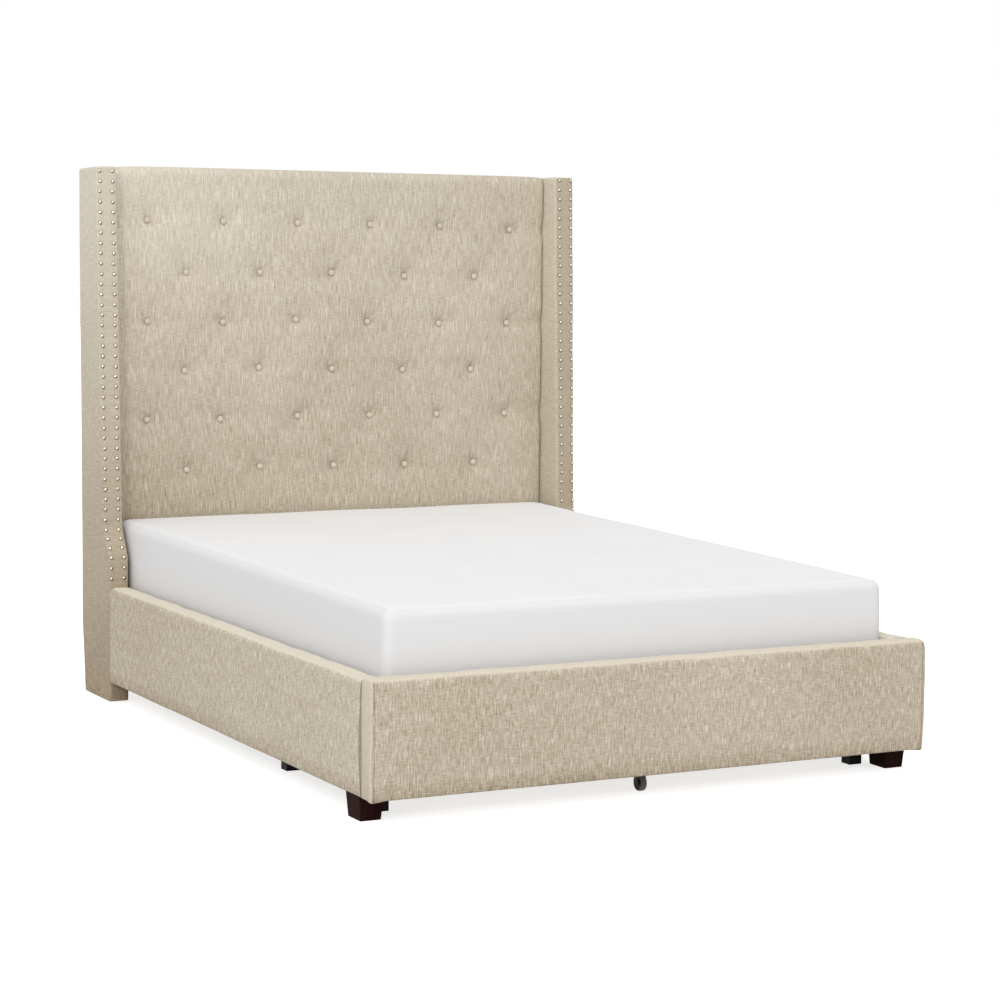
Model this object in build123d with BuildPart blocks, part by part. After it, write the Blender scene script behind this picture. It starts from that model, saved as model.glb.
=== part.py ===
"""Queen-size upholstered wingback bed with a full-width storage drawer as its footboard.

Millimetres. X runs across the bed, the head end is +Y, the foot end is -Y and Z is up. The origin is
on the floor under the middle of the bed. Left is the -X side, as seen from the foot end.
"""
from build123d import *
import math
import os

os.makedirs("parts", exist_ok=True)

# Overall size
bed_width = 1684.0
bed_length = 2198.0
headboard_height = 1662.0

# Upholstery: fabric alone, soft edges and the swell of a padded face
fabric_wrap = 2.0
soft_edge = 13.0
tight_edge = 6.0
face_swell = 4.0

# Side rails
rail_thickness = 62.0
rail_core_thickness = 38.0
rail_height = 293.0
rail_bottom = 65.5
rail_foam_top = 10.0
rail_foam_bottom = 4.0

# Drawer front, which is also the footboard
front_thickness = 62.0
front_height = 300.5
front_bottom = 64.0
front_board_thickness = 20.0
front_board_margin = 12.0
front_gap = 2.0

# Wings: depth at the top, at the shoulder and below the forward step
wing_depth_top = 160.0
wing_depth_shoulder = 207.0
wing_depth_foot = 260.0
wing_shoulder_height = 560.0
wing_step_height = 440.0
wing_foam_front = 16.0
wing_foam_side = 10.0
wing_foam_top = 12.0
wing_top_round = 14.0
wing_rake = 25.0
wing_rake_height = 220.0

# Floor glides under the wings
glide_radius = 12.0
glide_height = 3.0
glide_inset = 55.0

# Headboard, layer by layer from the back
back_cover_thickness = 3.0
post_depth = 30.0
post_width = 60.0
backboard_thickness = 6.0
pad_thickness = 41.0
pad_bottom = 300.0
headboard_bottom = 190.0
pad_top_wrap = 12.0
pad_top_round = 26.0
headboard_rail_height = 60.0
middle_rail_height = 920.0

# Tufts: two kinds of row that alternate, and the shape of each tuft
tuft_side_margin = 135.0
tuft_pitch_z = 157.5
tuft_top_margin = 168.5
tuft_rows = 6
tuft_wide_count = 6
tuft_depth = 14.0
tuft_reach = 95.0
tuft_lift = 1.5
tuft_seat_radius = 9.6
tuft_sides = 10
tuft_flare_shares = [(0, 0), (0.5, 0.25), (0.8, 0.64), (1, 1)]
button_radius = 9.0
button_rim = 3.0
button_crown = 3.0
button_taper = 50.0
button_sides = 10

# Nailheads: two rows down the front of each wing
nail_radius = 5.5
nail_height = 2.6
nail_lift = 0.25
nail_pitch = 31.2
nail_end_margin = 4.0
nail_foot_margin = 25.0
nail_row_outer = 7.5
nail_row_inner = 49.0
nail_taper = 35.0
nail_sides = 6

# Slat deck
slat_thickness = 20.0
slat_width = 70.0
slat_count = 14
slat_end_play = 2.0
slat_drop = 75.0
ledge_width = 25.0
ledge_height = 25.0
beam_width = 40.0
beam_height = 60.0
cross_rail_thickness = 22.0
cross_rail_height = 82.0
cross_rail_play = 3.0

# Centre legs and their levelling feet
centre_leg_width = 40.0
centre_leg_spacing = 550.0
centre_leg_first = 20.0
leveller_radius = 18.0
leveller_thickness = 6.0
leveller_stem_radius = 5.0
leveller_stem_length = 42.0
leveller_exposed = 14.0
stem_play = 0.2

# Sheet-steel brackets and bolts
steel_thickness = 3.0
bracket_leg = 60.0
bracket_height = 30.0
bracket_drop = 4.0
joint_plate_length = 150.0
joint_plate_height = 80.0
joint_plate_bottom = 112.0
hanger_flange = 24.0
hanger_cheek = 42.0
bolt_radius = 4.0
bolt_play = 0.25
bolt_head_radius = 9.0
bolt_head_height = 4.0
bolt_head_sides = 6
bolt_length = 32.0
bolt_edge_share = 0.25

# Front legs
leg_top_width = 68.0
leg_top_depth = 84.0
leg_foot_width = 58.0
leg_foot_depth = 74.0
leg_inset = 2.0
leg_setback = 11.0

# Drawer bearers and their legs
bearer_width = 40.0
bearer_height = 98.0
bearer_bottom = 80.0
bearer_offset = 24.0
bearer_front_gap = 30.0
bearer_length = 750.0
bearer_leg_setback = 70.0
spacer_height = 60.0
spacer_length = 80.0
spacer_setback = 110.0

# Telescopic slides
slide_space = 13.0
slide_length = 700.0
slide_height = 46.0
slide_sheet = 1.2
slide_play = 0.4
slide_lip_gap = 1.5
slide_centre_share = 0.5

# Drawer box
drawer_depth = 750.0
drawer_bottom = 72.0
drawer_height = 113.0
drawer_side_thickness = 15.0
drawer_panel_thickness = 9.0
drawer_panel_rise = 6.0
divider_thickness = 12.0
divider_drop = 8.0
rib_width = 70.0
rib_thickness = 18.0

# Caster under the middle of the drawer
wheel_radius = 22.5
wheel_width = 18.0
tread_thickness = 4.0
wheel_hub_radius = 8.0
wheel_hub_reach = 1.0
caster_setback = 110.0
caster_plate_length = 40.0
caster_plate_width = 56.0
cheek_thickness = 2.0
cheek_play = 0.4
cheek_end_radius = 9.0
axle_radius = 3.0
axle_play = 0.05
axle_head_radius = 5.0
axle_head_height = 1.5

# Mattress
mattress_thickness = 254.0
mattress_side_gap = 18.0
mattress_foot_gap = 28.0
mattress_head_gap = 4.0
mattress_corner = 45.0
mattress_edge = 24.0

# Places that several pieces share
y_head = bed_length / 2
y_foot = -bed_length / 2
x_out = bed_width / 2
x_in = x_out - rail_thickness
rail_top = rail_bottom + rail_height
y_front_back = y_foot + front_thickness
y_rail_foot = y_front_back + front_gap
y_wing_foot = y_head - wing_depth_foot
rail_length = y_wing_foot - y_rail_foot
y_frame_back = y_head - back_cover_thickness
y_frame_front = y_frame_back - post_depth
y_board_front = y_frame_front - backboard_thickness
y_pad_front = y_board_front - pad_thickness
slat_top = rail_top - slat_drop
slat_bottom = slat_top - slat_thickness
y_cross_back = y_rail_foot + cross_rail_thickness
beam_bottom = slat_bottom - beam_height
headboard_inner_top = headboard_height - pad_top_wrap
tuft_top_height = headboard_height - tuft_top_margin
tuft_pitch_x = 2 * (x_in - tuft_side_margin) / (tuft_wide_count - 1)
bearer_outer = x_in - bearer_offset
bearer_inner = bearer_outer - bearer_width
bearer_top = bearer_bottom + bearer_height
y_bearer_foot = y_rail_foot + bearer_front_gap
drawer_half = bearer_inner - slide_space
drawer_inner_half = drawer_half - drawer_side_thickness
drawer_top = drawer_bottom + drawer_height
y_drawer_back = y_front_back + drawer_depth
panel_bottom = drawer_bottom + drawer_panel_rise
rib_bottom = panel_bottom - rib_thickness
slide_centre = drawer_bottom + drawer_height * slide_centre_share

# Bolt places on the joint plates, as (y, z), and on the front corner brackets
plate_bolts = [
    (y_wing_foot + end * joint_plate_length * bolt_edge_share,
     joint_plate_bottom + joint_plate_height / 2 + row * joint_plate_height * bolt_edge_share)
    for end in (-1, 1) for row in (-1, 1)
]
bracket_top = slat_bottom - ledge_height - bracket_drop
bracket_middle = bracket_top - bracket_height / 2
bracket_reach = bracket_leg / 2 + steel_thickness
rail_bolts = plate_bolts + [(y_cross_back + bracket_reach, bracket_middle)]
cross_bolt_x = x_in - bracket_reach


def keep(part, name):
    """Label a finished piece and write it."""
    part.label = name
    export_step(part, f"parts/{name}.step")


def keep_pair(part, name):
    """Write a piece made on the right and its mirror image on the left."""
    keep(part, f"{name}_right")
    with BuildPart() as twin:
        mirror(part, about=Plane.YZ)
    keep(twin.part, f"{name}_left")


def block(low, high):
    """A rectangular piece between two corners, added to the part being built."""
    size = [b - a for a, b in zip(low, high)]
    middle = [(a + b) / 2 for a, b in zip(low, high)]
    with Locations(tuple(middle)):
        Box(*size)


def board(name, low, high):
    """A plain board as a piece of its own."""
    with BuildPart() as piece:
        block(low, high)
    keep(piece.part, name)


def board_pair(name, low, high):
    """A plain board on the right and its twin on the left."""
    with BuildPart() as piece:
        block(low, high)
    keep_pair(piece.part, name)


def bolt_holes(places, radius):
    """Holes along X through whatever stands at the inner face of the side rail."""
    with Locations(*[(x_in, y, z) for y, z in places]):
        Cylinder(radius, 2 * bolt_length, rotation=(0, 90, 0), mode=Mode.SUBTRACT)


def wing_front_edge(front_inset, top, bottom):
    """The wing's front line from its top to the floor, with the forward step as two tangent arcs."""
    y_top = y_head - wing_depth_top + front_inset
    y_shoulder = y_head - wing_depth_shoulder + front_inset
    y_foot_line = y_head - wing_depth_foot + front_inset
    slope = Vector(y_shoulder - y_top, wing_shoulder_height - headboard_height).normalized()
    shoulder = Vector(y_shoulder, wing_shoulder_height)
    step = Vector(y_foot_line, wing_step_height)
    across = Vector(slope.Y, -slope.X) - Vector(1, 0)
    span = shoulder - step
    lean = span.dot(across)
    spread = 4 - across.dot(across)
    radius = span.dot(span) / (math.sqrt(lean * lean + spread * span.dot(span)) - lean)
    middle = (shoulder + Vector(slope.Y, -slope.X) * radius + step + Vector(1, 0) * radius) * 0.5
    front = Line((y_top + (top - headboard_height) * slope.X / slope.Y, top), shoulder)
    upper = TangentArc(shoulder, middle, tangent=slope)
    lower = TangentArc(middle, step, tangent=upper % 1)
    straight = Line(step, (y_foot_line, bottom))
    return front, upper, lower, straight


def wing_section(front_inset, back_inset, top_inset):
    """The closed side view of a wing, drawn in the YZ plane."""
    top = headboard_height - top_inset
    back = y_head - back_inset
    with BuildLine() as outline:
        lines = wing_front_edge(front_inset, top, glide_height)
        Polyline(lines[3] @ 1, (back - wing_rake, glide_height), (back, wing_rake_height), (back, top),
                 lines[0] @ 0)
    make_face(outline.edges())


# Wings
with BuildPart() as wing_core_blank:
    with BuildSketch(Plane.YZ.offset(x_in + wing_foam_side)):
        wing_section(wing_foam_front, fabric_wrap, wing_foam_top)
    extrude(amount=rail_thickness - 2 * wing_foam_side)

with BuildPart() as wing_core:
    add(wing_core_blank.part)
    bolt_holes(plate_bolts, bolt_radius + bolt_play)
keep_pair(wing_core.part, "wing_core")

with BuildPart() as wing_cover:
    with BuildSketch(Plane.YZ.offset(x_in)) as wing_side:
        wing_section(0, 0, 0)
        top_corners = wing_side.vertices().group_by(Axis.Y)[-1]
        fillet(top_corners, radius=wing_top_round)
    extrude(amount=rail_thickness)
    side_edges = wing_cover.edges().filter_by(Plane.YZ)
    fillet([edge for edge in side_edges if edge.center().Z > glide_height + fabric_wrap],
           radius=tight_edge)
    add(wing_core_blank.part, mode=Mode.SUBTRACT)
    bolt_holes(plate_bolts, bolt_radius + bolt_play)
keep_pair(wing_cover.part, "wing_cover")

# Nailheads down the front of each wing, on a line drawn in (y, z)
with BuildLine() as nail_line:
    wing_front_edge(0, headboard_height - nail_end_margin - nail_radius,
                    rail_top + nail_foot_margin + nail_radius)
nail_path = nail_line.wires()[0]
nail_count = int(nail_path.length // nail_pitch) + 1
nail_seats = []
for row in (nail_row_outer, nail_row_inner):
    for i in range(nail_count):
        share = i * nail_pitch / nail_path.length
        place = nail_path @ share
        along = nail_path % share
        outward = Vector(0, along.Y, -along.X)
        seat = Vector(x_out - row, place.X, place.Y) + outward * nail_lift
        nail_seats.append(Plane(origin=seat, x_dir=(1, 0, 0), z_dir=outward))
with BuildPart() as nail_shape:
    with BuildSketch():
        RegularPolygon(nail_radius, nail_sides)
    extrude(amount=nail_height, taper=nail_taper)
with BuildPart() as nailheads:
    with Locations(*[seat.location for seat in nail_seats]):
        add(nail_shape.part)
keep_pair(nailheads.part, "nailheads")

with BuildPart() as wing_glides:
    glide_ends = (y_head - glide_inset, y_wing_foot + glide_inset)
    x_wing = (x_in + x_out) / 2
    with Locations(*[(side * x_wing, y, glide_height / 2) for side in (-1, 1) for y in glide_ends]):
        Cylinder(glide_radius, glide_height)
keep(wing_glides.part, "wing_glides")

# Headboard frame, backboard and back cover
board_pair("headboard_post", (x_in - post_width, y_frame_front, headboard_bottom),
           (x_in, y_frame_back, headboard_inner_top))
x_post = x_in - post_width
board("headboard_top_rail", (-x_post, y_frame_front, headboard_inner_top - headboard_rail_height),
      (x_post, y_frame_back, headboard_inner_top))
board("headboard_middle_rail", (-x_post, y_frame_front, middle_rail_height),
      (x_post, y_frame_back, middle_rail_height + headboard_rail_height))
board("headboard_bottom_rail", (-x_post, y_frame_front, headboard_bottom),
      (x_post, y_frame_back, pad_bottom))
board("headboard_backboard", (-x_in, y_board_front, pad_bottom),
      (x_in, y_frame_front, headboard_inner_top))
board("headboard_back_cover", (-x_in, y_frame_back, headboard_bottom),
      (x_in, y_head, headboard_inner_top))

# Tufts: every other row holds one fewer and stands half a pitch over
tuft_places = []
for row in range(tuft_rows):
    in_row = tuft_wide_count - row % 2
    for i in range(in_row):
        tuft_places.append(((i - (in_row - 1) / 2) * tuft_pitch_x, tuft_top_height - row * tuft_pitch_z))

# A tuft is a flared hollow that steepens from its rim, just above the face, down to a flat seat
tuft_turns = [math.tau * i / tuft_sides for i in range(tuft_sides)]
tuft_rings = []
for run_share, fall_share in tuft_flare_shares:
    radius = tuft_reach - run_share * (tuft_reach - tuft_seat_radius)
    height = tuft_lift - fall_share * (tuft_lift + tuft_depth)
    tuft_rings.append([(radius * math.cos(turn), radius * math.sin(turn), height) for turn in tuft_turns])
tuft_faces = [Face(Wire.make_polygon(ring)) for ring in (tuft_rings[0], tuft_rings[-1])]
for outer, inner in zip(tuft_rings, tuft_rings[1:]):
    for i in range(tuft_sides):
        tuft_faces.append(Face(Wire.make_polygon([outer[i - 1], outer[i], inner[i], inner[i - 1]])))
tuft_tool = Solid(Shell(tuft_faces))

with BuildPart() as headboard_tufted_pad:
    with BuildSketch(Plane.YZ.offset(-x_in)) as pad_section:
        with BuildLine():
            Polyline((y_pad_front, pad_bottom), (y_pad_front, headboard_height),
                     (y_head, headboard_height), (y_head, headboard_inner_top),
                     (y_board_front, headboard_inner_top), (y_board_front, pad_bottom), close=True)
        make_face()
        top_corners = pad_section.vertices().group_by(Axis.Y)[-1]
        fillet(top_corners.sort_by(Axis.X)[0], radius=pad_top_round)
    extrude(amount=2 * x_in)
    front_edges = headboard_tufted_pad.edges().filter_by(Axis.Z).group_by(Axis.Y)[0]
    low_edges = headboard_tufted_pad.edges().filter_by(Axis.X).group_by(Axis.Z)[0]
    fillet(front_edges + [low_edges.sort_by(Axis.Y)[0]], radius=soft_edge)
    with Locations(*[Location((x, y_pad_front, z), (90, 0, 0)) for x, z in tuft_places]):
        add(tuft_tool, mode=Mode.SUBTRACT)
keep(headboard_tufted_pad.part, "headboard_tufted_pad")

# Covered buttons seated in the tufts
with BuildPart() as button_shape:
    with BuildSketch():
        RegularPolygon(button_radius, button_sides)
    extrude(amount=button_rim)
    with BuildSketch(Plane.XY.offset(button_rim)):
        RegularPolygon(button_radius, button_sides)
    extrude(amount=button_crown, taper=button_taper)
with BuildPart() as tufting_buttons:
    with Locations(*[Location((x, y_pad_front + tuft_depth, z), (90, 0, 0)) for x, z in tuft_places]):
        add(button_shape.part)
keep(tufting_buttons.part, "tufting_buttons")

# Side rails: a board inside a padded cover whose outer face swells a little
with BuildPart() as rail_board_blank:
    block((x_in + fabric_wrap, y_rail_foot, rail_bottom + rail_foam_bottom),
          (x_in + fabric_wrap + rail_core_thickness, y_wing_foot, rail_top - rail_foam_top))

with BuildPart() as side_rail_board:
    add(rail_board_blank.part)
    bolt_holes(rail_bolts, bolt_radius + bolt_play)
keep_pair(side_rail_board.part, "side_rail_board")

with BuildPart() as side_rail_cover:
    with BuildSketch(Plane.XZ.offset(-y_rail_foot)) as rail_section:
        with BuildLine():
            lower = Line((x_in, rail_bottom), (x_out - face_swell, rail_bottom))
            swell = ThreePointArc(lower @ 1, (x_out, (rail_bottom + rail_top) / 2),
                                  (x_out - face_swell, rail_top))
            Polyline(swell @ 1, (x_in, rail_top), lower @ 0)
        make_face()
        fillet(rail_section.vertices().group_by(Axis.Y)[-1], radius=soft_edge)
        fillet(rail_section.vertices().group_by(Axis.Y)[0], radius=tight_edge)
    extrude(amount=-rail_length)
    add(rail_board_blank.part, mode=Mode.SUBTRACT)
    bolt_holes(rail_bolts, bolt_radius + bolt_play)
keep_pair(side_rail_cover.part, "side_rail_cover")

# Ledges, slats, front cross rail and centre beam
board_pair("slat_ledge", (x_in - ledge_width, y_cross_back, slat_bottom - ledge_height),
           (x_in, y_frame_front, slat_bottom))

slat_first = y_cross_back + cross_rail_play
slat_last = y_pad_front - cross_rail_play - slat_width
slat_pitch = (slat_last - slat_first) / (slat_count - 1)
x_slat = x_in - slat_end_play
with BuildPart() as slats:
    for i in range(slat_count):
        y_slat = slat_first + i * slat_pitch
        block((-x_slat, y_slat, slat_bottom), (x_slat, y_slat + slat_width, slat_top))
keep(slats.part, "slats")

with BuildPart() as front_cross_rail:
    block((-x_in, y_rail_foot, slat_top - cross_rail_height), (x_in, y_cross_back, slat_top))
    with Locations(*[(side * cross_bolt_x, y_cross_back, bracket_middle) for side in (-1, 1)]):
        Cylinder(bolt_radius + bolt_play, 2 * cross_rail_thickness + steel_thickness, rotation=(90, 0, 0),
                 mode=Mode.SUBTRACT)
keep(front_cross_rail.part, "front_cross_rail")

y_beam_foot = y_cross_back + steel_thickness
y_beam_head = y_frame_front - steel_thickness
board("centre_beam", (-beam_width / 2, y_beam_foot, beam_bottom),
      (beam_width / 2, y_beam_head, slat_bottom))


def hanger(y_flange, towards):
    """A saddle for one end of the beam: a flange on the rail, a floor and two cheeks."""
    half = beam_width / 2
    y_seat = y_flange + towards * steel_thickness
    y_end = y_seat + towards * hanger_cheek
    saddle_bottom = beam_bottom - steel_thickness
    block((-half - hanger_flange, min(y_flange, y_seat), saddle_bottom),
          (half + hanger_flange, max(y_flange, y_seat), beam_bottom + hanger_cheek))
    low, high = min(y_seat, y_end), max(y_seat, y_end)
    block((-half - steel_thickness, low, saddle_bottom), (half + steel_thickness, high, beam_bottom))
    for side in (-1, 1):
        near, far = side * half, side * (half + steel_thickness)
        block((min(near, far), low, beam_bottom), (max(near, far), high, beam_bottom + hanger_cheek))


with BuildPart() as beam_hangers:
    hanger(y_cross_back, 1)
    hanger(y_frame_front, -1)
keep(beam_hangers.part, "beam_hangers")

# Centre legs on levelling feet, behind the closed drawer
leg_bottom = leveller_thickness + leveller_exposed
centre_leg_places = [centre_leg_first, centre_leg_first + centre_leg_spacing]
with BuildPart() as centre_beam_legs:
    for y in centre_leg_places:
        block((-centre_leg_width / 2, y - centre_leg_width / 2, leg_bottom),
              (centre_leg_width / 2, y + centre_leg_width / 2, beam_bottom))
    stem_room = leveller_stem_length - leveller_exposed + stem_play
    with Locations(*[(0, y, leg_bottom) for y in centre_leg_places]):
        Cylinder(leveller_stem_radius + stem_play, stem_room,
                 align=(Align.CENTER, Align.CENTER, Align.MIN), mode=Mode.SUBTRACT)
keep(centre_beam_legs.part, "centre_beam_legs")

with BuildPart() as levelling_feet:
    with Locations(*[(0, y, 0) for y in centre_leg_places]):
        Cylinder(leveller_radius, leveller_thickness, align=(Align.CENTER, Align.CENTER, Align.MIN))
    with Locations(*[(0, y, leveller_thickness) for y in centre_leg_places]):
        Cylinder(leveller_stem_radius, leveller_stem_length,
                 align=(Align.CENTER, Align.CENTER, Align.MIN))
keep(levelling_feet.part, "levelling_feet")

# Steel plates across the joints between rails and wings
with BuildPart() as rail_joint_plate:
    block((x_in - steel_thickness, y_wing_foot - joint_plate_length / 2, joint_plate_bottom),
          (x_in, y_wing_foot + joint_plate_length / 2, joint_plate_bottom + joint_plate_height))
    bolt_holes(plate_bolts, bolt_radius + bolt_play)
keep_pair(rail_joint_plate.part, "rail_joint_plate")

# Angle brackets between the side rails and the front cross rail
with BuildPart() as front_corner_bracket:
    block((x_in - steel_thickness, y_cross_back, bracket_top - bracket_height),
          (x_in, y_cross_back + bracket_leg, bracket_top))
    block((x_in - bracket_leg, y_cross_back, bracket_top - bracket_height),
          (x_in - steel_thickness, y_cross_back + steel_thickness, bracket_top))
    bolt_holes(rail_bolts[-1:], bolt_radius + bolt_play)
    with Locations((cross_bolt_x, y_cross_back, bracket_middle)):
        Cylinder(bolt_radius + bolt_play, 2 * cross_rail_thickness, rotation=(90, 0, 0),
                 mode=Mode.SUBTRACT)
keep_pair(front_corner_bracket.part, "front_corner_bracket")


# Bolts, each with its head on the steel and its shank in the wood
def hexagon_bolt(length):
    """A bolt with the underside of its head on the XY plane and its shank below."""
    with BuildPart() as shape:
        with BuildSketch():
            RegularPolygon(bolt_head_radius, bolt_head_sides)
        extrude(amount=bolt_head_height)
        Cylinder(bolt_radius, length, align=(Align.CENTER, Align.CENTER, Align.MAX))
    return shape.part


rail_bolt = hexagon_bolt(bolt_length)
cross_bolt = hexagon_bolt(cross_rail_thickness)
with BuildPart() as frame_bolts:
    for side in (-1, 1):
        for y, z in rail_bolts:
            seat = Plane(origin=(side * (x_in - steel_thickness), y, z), z_dir=(-side, 0, 0))
            with Locations(seat.location):
                add(rail_bolt)
        seat = Plane(origin=(side * cross_bolt_x, y_cross_back + steel_thickness, bracket_middle),
                     z_dir=(0, 1, 0))
        with Locations(seat.location):
            add(cross_bolt)
keep(frame_bolts.part, "frame_bolts")

# Tapered front legs
with BuildPart() as front_leg:
    x_leg = x_out - leg_inset - leg_top_width / 2
    y_leg = y_rail_foot + leg_setback + leg_top_depth / 2
    with BuildSketch(Plane.XY):
        with Locations((x_leg, y_leg)):
            Rectangle(leg_foot_width, leg_foot_depth)
    with BuildSketch(Plane.XY.offset(rail_bottom)):
        with Locations((x_leg, y_leg)):
            Rectangle(leg_top_width, leg_top_depth)
    loft()
keep_pair(front_leg.part, "front_leg")

# Bearers that carry the drawer slides, on square legs, spaced off the side rails
y_bearer_head = y_bearer_foot + bearer_length
board_pair("drawer_bearer", (bearer_inner, y_bearer_foot, bearer_bottom),
           (bearer_outer, y_bearer_head, bearer_top))
bearer_leg_places = {
    "bearer_legs_front": y_bearer_foot + bearer_leg_setback,
    "bearer_legs_rear": y_bearer_head - bearer_leg_setback - bearer_width,
}
for name, y in bearer_leg_places.items():
    with BuildPart() as bearer_legs:
        for side in (-1, 1):
            near, far = sorted((side * bearer_inner, side * bearer_outer))
            block((near, y, 0), (far, y + bearer_width, bearer_bottom))
    keep(bearer_legs.part, name)

with BuildPart() as bearer_spacers:
    spacer_bottom = (bearer_bottom + bearer_top - spacer_height) / 2
    spacer_places = (y_bearer_foot + spacer_setback, y_bearer_head - spacer_setback - spacer_length)
    for side in (-1, 1):
        near, far = sorted((side * bearer_outer, side * x_in))
        for y in spacer_places:
            block((near, y, spacer_bottom), (far, y + spacer_length, spacer_bottom + spacer_height))
keep(bearer_spacers.part, "bearer_spacers")

# Telescopic slides: three channels, one inside the next
slide_step = slide_sheet + slide_play
middle_height = slide_height - 2 * slide_step
inner_height = middle_height - 2 * slide_step
lip_end = drawer_half + slide_lip_gap


def channel(web_x, lips_x, height):
    """A channel along Y: its web at web_x, and two lips that reach to lips_x."""
    inward = 1 if lips_x > web_x else -1
    web = sorted((web_x, web_x + inward * slide_sheet))
    lips = sorted((web_x, lips_x))
    half = height / 2
    y_end = y_bearer_foot + slide_length
    block((web[0], y_bearer_foot, slide_centre - half), (web[1], y_end, slide_centre + half))
    for side in (-1, 1):
        edge = sorted((slide_centre + side * half, slide_centre + side * (half - slide_sheet)))
        block((lips[0], y_bearer_foot, edge[0]), (lips[1], y_end, edge[1]))


with BuildPart() as slide_fixed:
    channel(bearer_inner, lip_end, slide_height)
keep_pair(slide_fixed.part, "slide_fixed")

with BuildPart() as slide_middle:
    channel(bearer_inner - slide_step, lip_end, middle_height)
keep_pair(slide_middle.part, "slide_middle")

with BuildPart() as slide_inner:
    channel(drawer_half, bearer_inner - 2 * slide_step, inner_height)
keep_pair(slide_inner.part, "slide_inner")

# Drawer front: a board inside a padded cover whose front face swells a little
front_top = front_bottom + front_height
front_board_low = (-x_out + front_board_margin, y_front_back - front_board_thickness,
                   front_bottom + front_board_margin)
front_board_high = (x_out - front_board_margin, y_front_back, front_top - front_board_margin)
with BuildPart() as drawer_front_board:
    block(front_board_low, front_board_high)
keep(drawer_front_board.part, "drawer_front_board")

with BuildPart() as drawer_front_cover:
    with BuildSketch(Plane.YZ.offset(-x_out)):
        with BuildLine():
            under = Line((y_front_back, front_bottom), (y_foot + face_swell, front_bottom))
            bulge = ThreePointArc(under @ 1, (y_foot, (front_bottom + front_top) / 2),
                                  (y_foot + face_swell, front_top))
            Polyline(bulge @ 1, (y_front_back, front_top), under @ 0)
        make_face()
    extrude(amount=bed_width)
    front_rim = [edge for edge in drawer_front_cover.edges() if edge.center().Y < y_foot + 2 * face_swell]
    fillet(front_rim, radius=soft_edge)
    add(drawer_front_board.part, mode=Mode.SUBTRACT)
keep(drawer_front_cover.part, "drawer_front_cover")

# Drawer box
board_pair("drawer_side", (drawer_inner_half, y_front_back, drawer_bottom),
           (drawer_half, y_drawer_back, drawer_top))
y_inner_front = y_front_back + drawer_side_thickness
y_inner_back = y_drawer_back - drawer_side_thickness
board("drawer_inner_front", (-drawer_inner_half, y_front_back, panel_bottom),
      (drawer_inner_half, y_inner_front, drawer_top))
board("drawer_back", (-drawer_inner_half, y_inner_back, panel_bottom),
      (drawer_inner_half, y_drawer_back, drawer_top))
panel_top = panel_bottom + drawer_panel_thickness
board("drawer_bottom_panel", (-drawer_inner_half, y_inner_front, panel_bottom),
      (drawer_inner_half, y_inner_back, panel_top))
board("drawer_divider", (-divider_thickness / 2, y_inner_front, panel_top),
      (divider_thickness / 2, y_inner_back, drawer_top - divider_drop))
board("drawer_bottom_rib", (-rib_width / 2, y_front_back, rib_bottom),
      (rib_width / 2, y_drawer_back, panel_bottom))

# Caster: a plate under the rib, two cheeks, an axle and a wheel with a soft tread
y_caster = y_foot + caster_setback
cheek_inner = wheel_width / 2 + wheel_hub_reach + cheek_play
cheek_outer = cheek_inner + cheek_thickness
plate_bottom = rib_bottom - steel_thickness
with BuildPart() as caster_bracket:
    block((-caster_plate_width / 2, y_caster - caster_plate_length / 2, plate_bottom),
          (caster_plate_width / 2, y_caster + caster_plate_length / 2, rib_bottom))
    for side in (-1, 1):
        near = min(side * cheek_inner, side * cheek_outer)
        with BuildSketch(Plane.YZ.offset(near)):
            with BuildLine():
                y_low, y_high = y_caster - cheek_end_radius, y_caster + cheek_end_radius
                drop = Line((y_low, plate_bottom), (y_low, wheel_radius))
                around = ThreePointArc(drop @ 1, (y_caster, wheel_radius - cheek_end_radius),
                                       (y_high, wheel_radius))
                Polyline(around @ 1, (y_high, plate_bottom), drop @ 0)
            make_face()
            with Locations((y_caster, wheel_radius)):
                Circle(axle_radius + axle_play, mode=Mode.SUBTRACT)
        extrude(amount=cheek_thickness)
keep(caster_bracket.part, "caster_bracket")

with BuildPart() as caster_axle:
    with BuildSketch(Plane.YZ.offset(-cheek_outer)):
        with Locations((y_caster, wheel_radius)):
            Circle(axle_radius)
    extrude(amount=2 * cheek_outer)
    for side in (-1, 1):
        with BuildSketch(Plane(origin=(side * cheek_outer, y_caster, wheel_radius), z_dir=(side, 0, 0))):
            Circle(axle_head_radius)
        extrude(amount=axle_head_height)
keep(caster_axle.part, "caster_axle")

wheel_core_radius = wheel_radius - tread_thickness
hub_half = wheel_width / 2 + wheel_hub_reach
tread_half = wheel_width / 2
with BuildPart() as caster_wheel:
    with BuildSketch(Plane.XZ):
        with BuildLine():
            Polyline((-hub_half, axle_radius + axle_play), (hub_half, axle_radius + axle_play),
                     (hub_half, wheel_hub_radius), (tread_half, wheel_hub_radius),
                     (tread_half, wheel_core_radius), (-tread_half, wheel_core_radius),
                     (-tread_half, wheel_hub_radius), (-hub_half, wheel_hub_radius), close=True)
        make_face()
    revolve(axis=Axis.X)
wheel_place = Location((0, y_caster, wheel_radius))
keep(caster_wheel.part.moved(wheel_place), "caster_wheel")

with BuildPart() as caster_tread:
    with BuildSketch(Plane.XZ):
        with BuildLine():
            Polyline((-tread_half, wheel_core_radius), (tread_half, wheel_core_radius),
                     (tread_half, wheel_radius), (-tread_half, wheel_radius), close=True)
        make_face()
    revolve(axis=Axis.X)
keep(caster_tread.part.moved(wheel_place), "caster_tread")

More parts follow.
